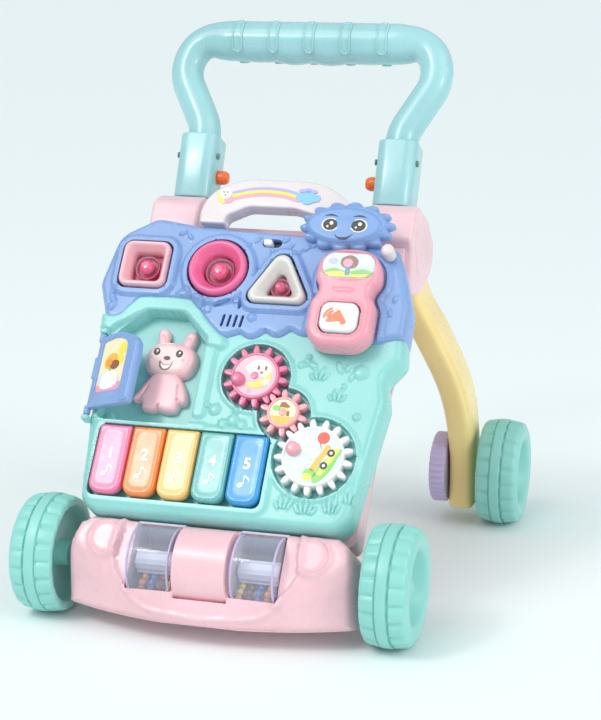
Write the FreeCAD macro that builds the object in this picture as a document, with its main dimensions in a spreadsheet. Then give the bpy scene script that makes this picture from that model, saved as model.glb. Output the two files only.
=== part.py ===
import FreeCAD, Part
import math
import os
import re
import Sketcher
from FreeCAD import Placement, Rotation, Vector

# Baby walker. Row frame: +X to the viewer's right, +Y to the back (towards the child), +Z up.
# The origin is the middle of the walker's box, on the floor. Lengths in mm, angles in degrees.
# Panel parts are modelled lying flat: X across, Y up the panel, Z out of its face.

SIZES = {
    # wheels and track
    "wheel_radius": 55, "wheel_half": 23, "tyre_edge": 47, "hub_recess": 28, "hub_floor": 9,
    "front_track": 162, "front_axle_y": -180, "rear_track": 192, "rear_axle_y": 185,
    "axle_height": 55, "axle_radius": 3, "running_gap": 0.05, "cap_radius": 9,
    # base
    "base_half": 134, "base_front": -240, "base_back": -125, "base_foot": 20, "lip_bow": 29,
    "shell_wall": 3,
    "drum_y": -205, "drum_z": 65, "drum_radius": 32, "drum_inner": 27, "drum_outer": 69,
    "drum_wall": 1.6, "drum_axle_radius": 2.5,
    # panel
    "panel_y": -194, "panel_z": 112, "panel_lean": 36.74, "panel_depth": 32, "blue_rise": 5,
    "gear_module": 3.86, "gear_depth": 12, "gear_pin": 3, "recess_depth": 8,
    "key_pitch": 32.4, "key_width": 31, "key_left": -121.3, "key_foot": 8, "key_top": 68,
    "key_hinge_v": 71, "key_hinge_w": -6, "key_rod_radius": 2,
    "door_hinge_u": -137, "door_hinge_w": 4.5, "door_open": 28, "door_width": 56,
    "niche_depth": 14, "sun_height": 284, "speaker_height": 190,
    # back frame, posts and handle
    "rail_inner": 84, "rail_outer": 124, "rail_front": -37, "rail_back": -66,
    "post_y": 78, "post_z": 387, "post_lean": 25.4, "post_half": 101, "post_bottom": -45,
    "post_top": 21, "post_bore": 16.8, "tube_radius": 16.4, "grip_radius": 21, "rib_radius": 22,
    "bar_height": 125, "lock_height": -19, "lock_radius": 7,
    # rear legs and speed knobs
    "knob_radius": 37, "knob_inner": 119.5, "knob_outer": 136.3,
}

doc = FreeCAD.newDocument("BabyWalker")
sheet = doc.addObject("Spreadsheet::Sheet", "Sizes")
for row, (alias, number) in enumerate(SIZES.items(), start=1):
    sheet.set(f"A{row}", alias)
    sheet.set(f"B{row}", str(number))
    sheet.setAlias(f"B{row}", alias)
doc.recompute()

NODES = []
ALIAS = re.compile(r"[a-z]+_[a-z_]+")
AXIS_X = Vector(1, 0, 0)


# ---- numbers, bindings and frames ------------------------------------------------------------

def linked(expression):
    """The expression with the sheet's name before each alias."""
    return ALIAS.sub(lambda found: "Sizes." + found.group(0), expression)


def size(value):
    """A plain number, or the value of an expression of the sheet's aliases."""
    if isinstance(value, str):
        return float(sheet.evalExpression(linked(value)))
    return float(value)


def bind(thing, name, value):
    """Sets a property and, when the value is an expression, keeps it bound to the sheet."""
    setattr(thing, name, size(value))
    if isinstance(value, str):
        thing.setExpression(name, linked(value))


def tilted(y, z, angle):
    """A frame turned about X: the dictionary that settle() binds."""
    return {"y": y, "z": z, "angle": angle}


PANEL = tilted("panel_y", "panel_z", "90 - panel_lean")
HANDLE = tilted("post_y", "post_z", "90 - post_lean")


def frame_placement(frame):
    spot = Vector(0, size(frame["y"]), size(frame["z"]))
    return Placement(spot, Rotation(AXIS_X, size(frame["angle"])))


def settle(thing, frame):
    """Puts an object in a tilted frame, bound to the sheet."""
    if frame is None:
        return
    thing.Placement = frame_placement(frame)
    thing.setExpression("Placement.Base.y", linked(frame["y"]))
    thing.setExpression("Placement.Base.z", linked(frame["z"]))
    thing.setExpression("Placement.Rotation.Angle", linked(frame["angle"]))


# ---- outlines --------------------------------------------------------------------------------

def ring(x, y, radius):
    return ("ring", x, y, radius)


def plain(points):
    return ("plain", points)


def rectangle(x0, x1, y0, y1):
    return plain([(x0, y0), (x1, y0), (x1, y1), (x0, y1)])


def rounded(points):
    """Corners as (x, y, radius)."""
    return ("rounded", points)


def corner_arc(before, corner, after):
    """Tangent arc of one rounded corner: start, middle and end points, or None when sharp."""
    here = Vector(corner[0], corner[1], 0)
    back = (Vector(before[0], before[1], 0) - here).normalize()
    ahead = (Vector(after[0], after[1], 0) - here).normalize()
    if corner[2] <= 0:
        return None
    half = back.getAngle(ahead) / 2
    reach = corner[2] / math.tan(half)
    bisector = (back + ahead).normalize()
    middle = here + bisector * (corner[2] / math.sin(half) - corner[2])
    return here + back * reach, middle, here + ahead * reach


def rounded_edges(points, closed=True):
    """Lines and arcs of a rounded polygon, in order."""
    count = len(points)
    arcs = []
    for index, corner in enumerate(points):
        inside = closed or 0 < index < count - 1
        arc = corner_arc(points[index - 1], corner, points[(index + 1) % count]) if inside else None
        arcs.append(arc)
    edges = []
    for index in range(count if closed else count - 1):
        following = (index + 1) % count
        start = arcs[index][2] if arcs[index] else Vector(points[index][0], points[index][1], 0)
        end = arcs[following][0] if arcs[following] else Vector(*points[following][:2], 0)
        if start.distanceToPoint(end) > 0.01:
            edges.append(Part.LineSegment(start, end))
        if arcs[following]:
            edges.append(Part.Arc(*arcs[following]))
    return edges


def inset(points, depth):
    """The rounded polygon moved inwards by depth; the corners run anticlockwise."""
    moved = []
    count = len(points)
    for index, corner in enumerate(points):
        here = Vector(corner[0], corner[1], 0)
        lead = (here - Vector(*points[index - 1][:2], 0)).normalize()
        trail = (Vector(*points[(index + 1) % count][:2], 0) - here).normalize()
        bend = lead.x * trail.y - lead.y * trail.x
        normals = Vector(-lead.y - trail.y, lead.x + trail.x, 0).normalize()
        across = max(0.3, normals.dot(Vector(-lead.y, lead.x, 0)))
        spot = here + normals * (depth / across)
        radius = corner[2] - depth if bend > 0 else corner[2] + depth
        moved.append((spot.x, spot.y, max(radius, 1.0)))
    return moved


def add_loop(sketch, loop):
    """Draws one closed loop in a sketch; rings and plain polygons stay bound to the sheet."""
    kind = loop[0]
    first = sketch.GeometryCount
    if kind == "ring":
        x, y, radius = loop[1:]
        centre = Vector(size(x), size(y), 0)
        sketch.addGeometry(Part.Circle(centre, Vector(0, 0, 1), size(radius)), False)
        constrain(sketch, "DistanceX", (-1, 1, first, 3), x)
        constrain(sketch, "DistanceY", (-1, 1, first, 3), y)
        constrain(sketch, "Radius", (first,), radius)
    elif kind == "plain":
        corners = [Vector(size(x), size(y), 0) for x, y in loop[1]]
        for index, corner in enumerate(corners):
            following = corners[(index + 1) % len(corners)]
            sketch.addGeometry(Part.LineSegment(corner, following), False)
        join_ends(sketch, first, len(corners))
        for index, (x, y) in enumerate(loop[1]):
            constrain(sketch, "DistanceX", (-1, 1, first + index, 1), x)
            constrain(sketch, "DistanceY", (-1, 1, first + index, 1), y)
    else:
        points = [tuple(size(number) for number in corner) for corner in loop[1]]
        for edge in rounded_edges(points):
            sketch.addGeometry(edge, False)


def join_ends(sketch, first, count):
    for index in range(count):
        following = first + (index + 1) % count
        sketch.addConstraint(Sketcher.Constraint("Coincident", first + index, 2, following, 1))


def constrain(sketch, kind, places, value):
    index = sketch.addConstraint(Sketcher.Constraint(kind, *places, size(value)))
    if isinstance(value, str):
        sketch.setExpression(f"Constraints[{index}]", linked(value))


# ---- bodies and features ---------------------------------------------------------------------

def new_body(name, frame=None):
    body = doc.addObject("PartDesign::Body", name)
    body.Label = name
    settle(body, frame)
    NODES.append(body)
    return body


def draw(body, plane, loops, height=0):
    """A sketch on one of the body's origin planes, moved along the plane's normal by height."""
    sketch = body.newObject("Sketcher::SketchObject", body.Name + "_sketch")
    support = next(item for item in body.Origin.OriginFeatures if item.Role == plane + "_Plane")
    sketch.AttachmentSupport = [(support, "")]
    sketch.MapMode = "FlatFace"
    sketch.AttachmentOffset = Placement(Vector(0, 0, size(height)), Rotation())
    if isinstance(height, str):
        sketch.setExpression("AttachmentOffset.Base.z", linked(height))
    for loop in loops:
        add_loop(sketch, loop)
    return sketch


def pad(body, loops, low, high, plane="XY"):
    """Solid of the loops between two heights on the plane's normal."""
    feature = body.newObject("PartDesign::Pad", body.Name + "_pad")
    feature.Profile = draw(body, plane, loops, low)
    bind(feature, "Length", f"({high}) - ({low})")
    return feature


def pocket(body, loops, low, high, plane="XY"):
    """Removes the loops between two heights on the plane's normal."""
    feature = body.newObject("PartDesign::Pocket", body.Name + "_pocket")
    feature.Profile = draw(body, plane, loops, high)
    bind(feature, "Length", f"({high}) - ({low})")
    return feature


def revolve(body, loops, plane="XY", axis="H_Axis", kind="PartDesign::Revolution"):
    feature = body.newObject(kind, body.Name + "_turn")
    sketch = draw(body, plane, loops)
    feature.Profile = sketch
    feature.ReferenceAxis = (sketch, [axis])
    feature.Angle = 360
    return feature


def loft(body, sections):
    """Smooth solid through horizontal sections given as (height, loop)."""
    sketches = [draw(body, "XY", [loop], height) for height, loop in sections]
    feature = body.newObject("PartDesign::AdditiveLoft", body.Name + "_loft")
    feature.Profile = sketches[0]
    feature.Sections = sketches[1:]
    return feature


def cylinder(name, radius, length, spot, direction=AXIS_X, frame=None):
    """A cylinder from spot along direction; spot holds numbers or expressions."""
    thing = doc.addObject("Part::Cylinder", name)
    bind(thing, "Radius", radius)
    bind(thing, "Height", length)
    place = Placement(Vector(*(size(value) for value in spot)),
                      Rotation(Vector(0, 0, 1), direction))
    thing.Placement = frame_placement(frame) * place if frame else place
    return thing


def ball(name, radius, spot):
    thing = doc.addObject("Part::Sphere", name)
    bind(thing, "Radius", radius)
    thing.Placement.Base = Vector(*(size(value) for value in spot))
    return thing


def group(name, things):
    """Identical pieces that share one node, as separate solids."""
    compound = doc.addObject("Part::Compound", name)
    compound.Links = things
    compound.Label = name
    NODES.append(compound)


def boolean(kind, name, base, tools):
    """Fuse, Cut or Common of a base and its tools."""
    if kind == "Fuse":
        result = doc.addObject("Part::MultiFuse", name)
        result.Shapes = [base] + tools
        return result
    for index, tool in enumerate(tools):
        result = doc.addObject("Part::" + kind, f"{name}_{index}")
        result.Base = base
        result.Tool = tool
        base = result
    return base


def bar(name, plane, loop, low, high):
    """A loop drawn in the row frame's YZ or XY plane, extruded along its normal."""
    sketch = doc.addObject("Sketcher::SketchObject", name + "_sketch")
    if plane == "YZ":
        turn = Rotation(Vector(0, 1, 0), Vector(0, 0, 1), AXIS_X)
        start = Vector(size(low), 0, 0)
    else:
        turn = Rotation()
        start = Vector(0, 0, size(low))
    sketch.Placement = Placement(start, turn)
    add_loop(sketch, loop)
    solid = doc.addObject("Part::Extrusion", name)
    solid.Base = sketch
    solid.Dir = turn.multVec(Vector(0, 0, 1))
    solid.DirMode = "Custom"
    solid.Solid = True
    bind(solid, "LengthFwd", f"({high}) - ({low})")
    return solid


def sided(side, low, high):
    """The span from low to high on the given side of X = 0, as (low, high) expressions."""
    return (f"{low}", f"{high}") if side > 0 else (f"-({high})", f"-({low})")


def side_name(side):
    return "right" if side > 0 else "left"


SIDES = (-1, 1)


# ---- wheels, axles and drums -----------------------------------------------------------------

def wheel_profile(side):
    """Half section of a wheel: X along the axle, outwards on the given side, Y the radius."""
    out = "" if side > 0 else "-"
    bore = "axle_radius + running_gap"
    corners = [
        (-20, bore), (-20, 12), (-6, 12), (-6, 42), ("-wheel_half", "tyre_edge"),
        (-19, 53), (-8, "wheel_radius"), (8, "wheel_radius"), (19, 53),
        ("wheel_half", "tyre_edge"), (21, 31), ("hub_floor", "hub_recess"), ("hub_floor", bore),
    ]
    return plain([(f"{out}({x})", y) for x, y in corners])


def wheel(name, side, track, axle_y):
    body = new_body(name)
    body.Placement.Base = Vector(side * size(track), size(axle_y), size("axle_height"))
    for axis, value in (("x", f"{side} * {track}"), ("y", axle_y), ("z", "axle_height")):
        body.setExpression("Placement.Base." + axis, linked(value))
    revolve(body, [wheel_profile(side)])
    grooves(body)


def grooves(body):
    """Twenty shallow cross grooves around the tread."""
    cut = pocket(body, [rectangle(-16, 16, -2, 2)], "wheel_radius - 1.2", "wheel_radius + 2")
    pattern = body.newObject("PartDesign::PolarPattern", body.Name + "_treads")
    pattern.Originals = [cut]
    axis = next(item for item in body.Origin.OriginFeatures if item.Role == "X_Axis")
    pattern.Axis = (axis, [""])
    pattern.Angle = 360
    pattern.Occurrences = 20
    body.Tip = pattern


def wheels_and_axles():
    for place, track in (("front", "front_track"), ("rear", "rear_track")):
        for side in SIDES:
            wheel(f"{place}_wheel_{side_name(side)}", side, track, f"{place}_axle_y")
    axles("front", 97, "front_track + hub_floor + 4")
    axles("rear", "knob_inner + 3", "rear_track + hub_floor + 4")
    caps = []
    for place in ("front", "rear"):
        for side in SIDES:
            low, high = sided(side, f"{place}_track + hub_floor + 0.5",
                              f"{place}_track + hub_floor + 8")
            cap = cylinder(f"cap_{place}_{side_name(side)}", "cap_radius", f"({high}) - ({low})",
                           (low, f"{place}_axle_y", "axle_height"))
            hole = cylinder(f"cap_hole_{place}_{side_name(side)}", "axle_radius", 3.5,
                            (low if side > 0 else f"{high} - 3.5", f"{place}_axle_y",
                             "axle_height"))
            caps.append(boolean("Cut", cap.Name + "_cut", cap, [hole]))
    group("hub_caps", caps)


def axles(place, start, end):
    rods = []
    for side in SIDES:
        low, high = sided(side, start, end)
        rods.append(cylinder(f"{place}_axle_{side_name(side)}", "axle_radius",
                             f"({high}) - ({low})", (low, f"{place}_axle_y", "axle_height")))
    group(f"{place}_axles", rods)


def drums():
    bead_groups = {}
    for side in SIDES:
        name = f"drum_{side_name(side)}"
        hub = "drum_axle_radius + running_gap"
        shell = new_body(name)
        shell.Placement.Base = Vector(0, size("drum_y"), size("drum_z"))
        low = "drum_inner"
        high = "drum_outer - 1.8"
        corners = [
            (low, hub), (high, hub), (high, 5.5), (f"{low} + drum_wall", 5.5),
            (f"{low} + drum_wall", "drum_radius - drum_wall"), (high, "drum_radius - drum_wall"),
            (high, "drum_radius"), (low, "drum_radius"),
        ]
        revolve(shell, [plain([(f"{side} * ({x})", y) for x, y in corners])])
        lid = new_body(name + "_lid")
        lid.Placement.Base = shell.Placement.Base
        lid_corners = [(high, hub), ("drum_outer", hub), ("drum_outer", "drum_radius"),
                       (high, "drum_radius")]
        revolve(lid, [plain([(f"{side} * ({x})", y) for x, y in lid_corners])])
        bead_groups[side] = []
        for index in range(11):
            column = index % 4
            layer = index // 4
            x = side * (33 + 8.6 * column + 4 * (layer % 2))
            angle = math.radians(-90 + (-16 + 16 * layer))
            reach = size("drum_radius - drum_wall") - 3.6
            spot = (x, size("drum_y") + reach * math.cos(angle), size("drum_z")
                    + reach * math.sin(angle))
            bead_groups[side].append(ball(f"bead_{side_name(side)}_{index}", 3.2, spot))
        group(f"beads_{side_name(side)}", bead_groups[side])
    rod = cylinder("drum_axle", "drum_axle_radius", "2 * (drum_outer + 8)",
                   ("-(drum_outer + 8)", "drum_y", "drum_z"))
    NODES.append(rod)


# ---- base ------------------------------------------------------------------------------------

def base_outlines(wall):
    """Side and plan outlines of the base, moved inwards by wall."""
    rear = size("base_back") - wall
    lip = size("base_front") + wall
    side = [(rear, 20, 0), (rear, 48 - wall, 0), (-195 + wall * 0.2, 100 - wall * 1.25, 0),
            (lip + 8, 50, 12), (lip, 39, 8), (lip + 2, 20, 0)]
    half = size("base_half") - wall
    front = size("base_front") + wall
    corner = front + size("lip_bow")
    chord = Part.Arc(Vector(half, corner, 0), Vector(0, front, 0), Vector(-half, corner, 0))
    return side, half, rear, corner, chord


def base_block(name, wall):
    side, half, back, corner, chord = base_outlines(wall)
    body = bar(name + "_side", "YZ", rounded(side), -half, half)
    sketch = doc.addObject("Sketcher::SketchObject", name + "_plan_sketch")
    ends = [Vector(-half, corner, 0), Vector(-half, back, 0), Vector(half, back, 0),
            Vector(half, corner, 0)]
    for start, end in zip(ends, ends[1:]):
        sketch.addGeometry(Part.LineSegment(start, end), False)
    sketch.addGeometry(chord, False)
    plan = doc.addObject("Part::Extrusion", name + "_plan")
    plan.Base = sketch
    plan.Dir = Vector(0, 0, 1)
    plan.DirMode = "Custom"
    plan.Solid = True
    plan.LengthFwd = 140
    return boolean("Common", name, body, [plan])


def base():
    outer = base_block("base_outer", 0)
    inner = base_block("base_inner", size("shell_wall"))
    shell = boolean("Cut", "base_shell", outer, [inner])
    saddle = cylinder("saddle", "drum_radius + 2.4", 50, (-25, "drum_y", "drum_z"))
    saddle_inner = cylinder("saddle_inner", "drum_radius - 0.6", 44, (-22, "drum_y", "drum_z"))
    ribs = []
    for side in SIDES:
        for spot in (24.5, 73, 98):
            low, high = sided(side, spot - 1.5, spot + 1.5)
            ribs.append(boolean("Common", f"rib_{side_name(side)}_{int(spot)}",
                                bar(f"rib_{side_name(side)}_{int(spot)}_bar", "YZ",
                                    rectangle(-239, -126, 24, 110), low, high), [outer]))
    solid = boolean("Fuse", "base_solid", shell, [saddle] + ribs)
    tools = [saddle_inner]
    for side in SIDES:
        low, high = sided(side, "drum_inner - 0.8", "drum_outer + 1")
        tools.append(cylinder(f"drum_window_{side_name(side)}", "drum_radius + 1.2",
                              f"({high}) - ({low})", (low, "drum_y", "drum_z")))
        low, high = sided(side, 90, 140)
        tools.append(cylinder(f"axle_hole_{side_name(side)}", "axle_radius", 50,
                              (low, "front_axle_y", "axle_height")))
    tools.append(cylinder("drum_axle_hole", "drum_axle_radius", "2 * (drum_outer + 8)",
                          ("-(drum_outer + 8)", "drum_y", "drum_z")))
    tools.append(bar("under_trim", "XY", rectangle(-200, 200, -260, -100), 0, "base_foot"))
    housing = boolean("Cut", "base_cut", solid, tools)
    housing.Label = "base_housing"
    NODES.append(housing)
    cover_plan = base_block("cover", size("shell_wall") + 0.4)
    slab = bar("cover_slab", "XY", rectangle(-200, 200, -260, -100), "base_foot",
               "base_foot + 3")
    cover = boolean("Common", "cover_cut", cover_plan, [slab])
    cover.Label = "base_bottom_cover"
    NODES.append(cover)


# ---- panel shells ----------------------------------------------------------------------------

LOWER = [
    (-128, -8, 22), (122, -8, 22), (139, 118, 14), (134, 141, 8), (148, 160, 12),
    (147, 176.6, 3), (60, 174, 12), (-23, 164, 20), (-42, 180, 10), (-60, 201, 16),
    (-108, 200, 16), (-124, 178, 10), (-149, 175, 3),
]
UPPER = [
    (-149, 175.4, 2), (-124, 178.4, 10), (-108, 200.4, 16), (-60, 201.4, 16),
    (-42, 180.4, 10), (-23, 164.4, 20), (60, 174.4, 12), (147, 177, 3), (147, 212, 40),
    (129, 268, 18), (80, 275, 15), (-62, 280, 40), (-110, 287, 20), (-144, 266, 25),
    (-153, 218, 40),
]
GEAR_TEETH = {"gear_pink": 14, "gear_middle": 10, "gear_white": 17}
MIDDLE_GEAR = (48.3, 97.6)
MESH_ANGLES = {"gear_pink": 134.1, "gear_white": -48.8}
KEY_NUMBERS = range(1, 6)
NICHE = [(-128, 80, 6), (-38, 80, 6), (-38, 160, 12), (-64, 190, 14), (-100, 190, 16),
         (-128, 166, 18)]
SQUARE = [(-133, 211, 8), (-87, 211, 8), (-87, 257, 8), (-133, 257, 8)]
TRIANGLE = [(-9, 202, 7), (56, 202, 7), (23.5, 260, 9)]
ROUND = (-38, 234)
ROUND_RADIUS = 28
TRIANGLE_EYE = (23.5, 221)
SQUARE_EYE = (-110, 234)


def gear_centre(name):
    if name == "gear_middle":
        return MIDDLE_GEAR
    teeth = GEAR_TEETH[name] + GEAR_TEETH["gear_middle"]
    reach = size("gear_module") * teeth / 2
    angle = math.radians(MESH_ANGLES[name])
    return (MIDDLE_GEAR[0] + reach * math.cos(angle), MIDDLE_GEAR[1] + reach * math.sin(angle))


def gear_tip(name):
    return size("gear_module") * (GEAR_TEETH[name] / 2 + 0.85)


def gear_rings(extra):
    return [ring(*gear_centre(name), gear_tip(name) + extra) for name in GEAR_TEETH]


def stepped(body, rings, low, high):
    """One pad for each ring, because the rings overlap one another."""
    for loop in rings:
        pad(body, [loop], low, high)


def panel_lower():
    body = new_body("panel_lower", PANEL)
    pad(body, [rounded(LOWER)], "-panel_depth", 0)
    pocket(body, [rounded(inset(LOWER, 3))], "-panel_depth", "-shell_wall")
    stepped(body, gear_rings(5), "-gear_depth", -2)
    pad(body, [rounded(inset(NICHE, -3))], "-niche_depth - 3", -2)
    for low, high in ((-131, "key_left - 0.8"), ("key_left + 5 * key_pitch + 0.3", 49)):
        pad(body, [rectangle(low, high, 64, 78)], "-gear_depth", -2)
    for low, high in ((75, 80.3), (161.5, 167)):
        pad(body, [rectangle("door_hinge_u - 4", "door_hinge_u + 4", low, high)], -3, 9)
    for loop in gear_rings(2):
        pocket(body, [loop], "-recess_depth", 12)
    pocket(body, [rounded(NICHE)], "-niche_depth", 12)
    pocket(body, [rectangle("key_left - 1", "key_left + 5 * key_pitch", "key_foot - 1.5",
                            "key_hinge_v + 4.5")], -11, 12)
    for name in GEAR_TEETH:
        pocket(body, [ring(*gear_centre(name), "gear_pin")], "-gear_depth - 1", 2)
    pocket(body, [ring("key_hinge_v", "key_hinge_w", "key_rod_radius")],
           -129, 45, plane="YZ")
    pocket(body, [ring("door_hinge_u", "door_hinge_w", 1.55)], -165, -77, plane="XZ")


def panel_upper():
    body = new_body("panel_upper", PANEL)
    pad(body, [rounded(UPPER)], "-panel_depth", "blue_rise")
    pocket(body, [rounded(inset(UPPER, 3))], "-panel_depth", "blue_rise - shell_wall")
    gap = -0.6
    openings = [rounded(inset(SQUARE, gap)), rounded(inset(TRIANGLE, gap)),
                ring(*ROUND, ROUND_RADIUS + 0.6), rectangle(0, 17, 261, 268)]
    pocket(body, openings, 0, "blue_rise + 2")
    slots = [rectangle(-26 + 6 * index, -23 + 6 * index, "speaker_height - 12",
                       "speaker_height") for index in range(4)]
    pocket(body, slots, 0, "blue_rise + 2")


def panel_back():
    body = new_body("panel_back_cover", PANEL)
    outline = [(-122, -4, 20), (117, -4, 20), (140, 175, 20), (122, 266, 20), (-108, 280, 20),
               (-145, 262, 25), (-145, 170, 30)]
    pad(body, [rounded(outline)], "-panel_depth - 4", "-panel_depth - 0.3")
    pocket(body, [rectangle(4, 76, 72, 136)], "-panel_depth - 4", "-panel_depth - 0.3")
    lid = new_body("battery_cover", PANEL)
    pad(lid, [rectangle(4.4, 75.6, 72.4, 135.6)], "-panel_depth - 4", "-panel_depth - 1")
    cells = [cylinder(f"battery_{index}", 7, 50, (15, 88 + 16 * index, -24), AXIS_X, PANEL)
             for index in range(3)]
    group("batteries", cells)
    board = new_body("circuit_board", PANEL)
    pad(board, [rectangle(-110, 30, 6, 62)], -22, -20.4)
    speaker = new_body("speaker")
    revolve(speaker, [plain([(-26, 0), (-26, 9), (-19, 9), (-13, 14), (-11, 14), (-11, 0)])],
            plane="XY")
    tilt = Placement(Vector(-17, size("speaker_height"), 0), Rotation(Vector(0, 1, 0), -90))
    speaker.Placement = frame_placement(PANEL) * tilt
    spots = [(-70, 44), (70, 44), (-134, 150), (132, 190), (-70, 196), (70, 196)]
    heads = [cylinder(f"panel_screw_{index}", 3.5, 2.2, (u, v, "-panel_depth - 6.3"),
                      Vector(0, 0, 1), PANEL) for index, (u, v) in enumerate(spots)]
    group("panel_screws", heads)


# ---- what sits on the panel ------------------------------------------------------------------

def involute(angle):
    return math.tan(angle) - angle


def gear_outline(teeth, phase, centre):
    """Closed outline of one gear with involute flanks and a little backlash."""
    module = size("gear_module")
    pitch = module * teeth / 2
    base_circle = pitch * math.cos(math.radians(20))
    tip = pitch + 0.85 * module
    root = pitch - 1.15 * module
    thickness = math.pi / 2 / teeth - 0.35 / pitch
    corners = []
    for tooth in range(teeth):
        middle = phase + 2 * math.pi * tooth / teeth
        flank = []
        for radius in (max(root + 0.6, base_circle), pitch, pitch + 0.5 * module, tip):
            pressure = math.acos(min(1, base_circle / radius))
            half = thickness + involute(math.radians(20)) - involute(pressure)
            flank.append((radius, half))
        flank.insert(0, (root, flank[0][1] * 1.05))
        for radius, half in flank:
            corners.append((radius, middle - half))
        for radius, half in reversed(flank):
            corners.append((radius, middle + half))
    return plain([(centre[0] + radius * math.cos(angle), centre[1] + radius * math.sin(angle))
                  for radius, angle in corners])


def gear_phase(name):
    """Angle of one tooth's middle, such that the teeth are in mesh at rest."""
    middle = GEAR_TEETH["gear_middle"]
    if name == "gear_middle":
        return math.radians(MESH_ANGLES["gear_white"])
    toward = math.radians(MESH_ANGLES[name])
    step = 2 * math.pi / middle
    turned = (toward - math.radians(MESH_ANGLES["gear_white"])) / step
    offset = turned - math.floor(turned)
    mate = 2 * math.pi / GEAR_TEETH[name]
    return toward + math.pi + mate / 2 + offset * mate


def gears():
    pins = []
    for name, teeth in GEAR_TEETH.items():
        body = new_body(name, PANEL)
        centre = gear_centre(name)
        pad(body, [gear_outline(teeth, gear_phase(name), centre)], -7.5, 4)
        pad(body, [ring(*centre, gear_tip(name) - 8.5)], 3, 6)
        if name != "gear_middle":
            lean = math.radians(200 if name == "gear_pink" else 165)
            reach = gear_tip(name) * 0.52
            knob = (centre[0] + reach * math.cos(lean), centre[1] + reach * math.sin(lean))
            pad(body, [ring(*knob, 6)], 5, 13)
        pocket(body, [ring(*centre, "gear_pin + running_gap")], -8, 2)
        pins.append(cylinder(f"{name}_pin", "gear_pin", 13, (*centre, -12), Vector(0, 0, 1),
                             PANEL))
    group("gear_shafts", pins)


def keys():
    for number in KEY_NUMBERS:
        body = new_body(f"key_{number}", PANEL)
        left = size("key_left") + (number - 1) * size("key_pitch")
        right = left + size("key_width")
        foot = size("key_foot")
        top = size("key_top")
        corners = [(left, foot, 6), (right, foot, 6), (right, top, 1), (left, top, 1)]
        pad(body, [rounded(corners)], -4, 5)
        pad(body, [rectangle(left + 2, right - 2, 60, "key_hinge_v + 3.5")], "key_hinge_w - 3.5",
            -2.5)
        pocket(body, [ring("key_hinge_v", "key_hinge_w", "key_rod_radius + running_gap")],
               left - 1, right + 1, plane="YZ")
    rod = cylinder("key_rod", "key_rod_radius", 172, (-128, "key_hinge_v", "key_hinge_w"),
                   AXIS_X, PANEL)
    NODES.append(rod)


def shape_buttons():
    outlines = {"square": (rounded(SQUARE), SQUARE_EYE, 14.5),
                "round": (ring(*ROUND, ROUND_RADIUS), ROUND, 15.5),
                "triangle": (rounded(TRIANGLE), TRIANGLE_EYE, 13.5)}
    for name, (outline, eye, radius) in outlines.items():
        frame_body = new_body(name + "_button", PANEL)
        pad(frame_body, [outline, ring(*eye, radius)], -6, "blue_rise + 9")
        dome = new_body(name + "_dome")
        place = Placement(Vector(*eye, 0), Rotation(AXIS_X, 90))
        edge = radius - 0.1
        top = size("blue_rise") + 11
        sag = 8
        arc_radius = (edge ** 2 + sag ** 2) / (2 * sag)
        steps = 6
        angle = math.asin(edge / arc_radius)
        curve = [(arc_radius * math.sin(angle * index / steps),
                  top - arc_radius + arc_radius * math.cos(angle * index / steps))
                 for index in range(steps + 1)]
        revolve(dome, [plain([(0, 0), (edge, 0)] + curve[::-1])], axis="V_Axis")
        dome.Placement = frame_placement(PANEL) * place


def door_and_bunny():
    door = new_body("door")
    spin = Placement(Vector(size("door_hinge_u"), 0, size("door_hinge_w")),
                     Rotation(Vector(0, 1, 0), -size("door_open")))
    door.Placement = frame_placement(PANEL) * spin
    pad(door, [rounded([(2, 86, 1), ("door_width", 86, 3), ("door_width", 150, 20),
                        (26, 160, 30), (2, 156, 2)])], -3.6, 3.6)
    pad(door, [ring(0, 0, 3.2)], -161, -81, plane="XZ")
    pad(door, [ring(0, 0, 1.5)], -165, -77, plane="XZ")
    bunny = new_body("bunny", PANEL)
    front = -2
    back = "-niche_depth"
    head = [(-92, 124, 15), (-42, 124, 15), (-43, 158, 16), (-91, 158, 16)]
    belly = [(-97, 89, 14), (-43, 89, 14), (-48, 130, 16), (-92, 130, 16)]
    pad(bunny, [rounded(head)], back, front)
    pad(bunny, [rounded(belly)], back, front - 1)
    for left, top in ((-79, 171), (-58, 169)):
        ear = [(left, 150, 3), (left + 10, 150, 3), (left + 10, top, 4.5), (left, top, 4.5)]
        pad(bunny, [rounded(ear)], back, -5)


PHONE = [(60, 157, 20), (120.5, 157, 20), (120.5, 200, 16), (113, 212, 12), (121, 224, 14),
         (121, 254, 22), (61, 254, 22), (61, 224, 14), (68, 212, 12), (60, 200, 16)]
PHONE_WINDOW = [(66, 223, 12.5), (116, 223, 12.5), (116, 249, 12.5), (66, 249, 12.5)]
PHONE_BUTTON = [(73, 168, 9), (109, 168, 9), (109, 198, 9), (73, 198, 9)]


def phone():
    body = new_body("phone_body", PANEL)
    pad(body, [rounded(PHONE)], "blue_rise + 0.4", 27)
    pocket(body, [rounded(PHONE_BUTTON)], 12, 28)
    pocket(body, [rounded(PHONE_WINDOW)], 25, 28)
    button = new_body("phone_button", PANEL)
    pad(button, [rounded(inset(PHONE_BUTTON, 0.5))], 14.8, 31)
    window = new_body("phone_window", PANEL)
    pad(window, [rounded(inset(PHONE_WINDOW, 0.3))], 25, 26.6)


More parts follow.
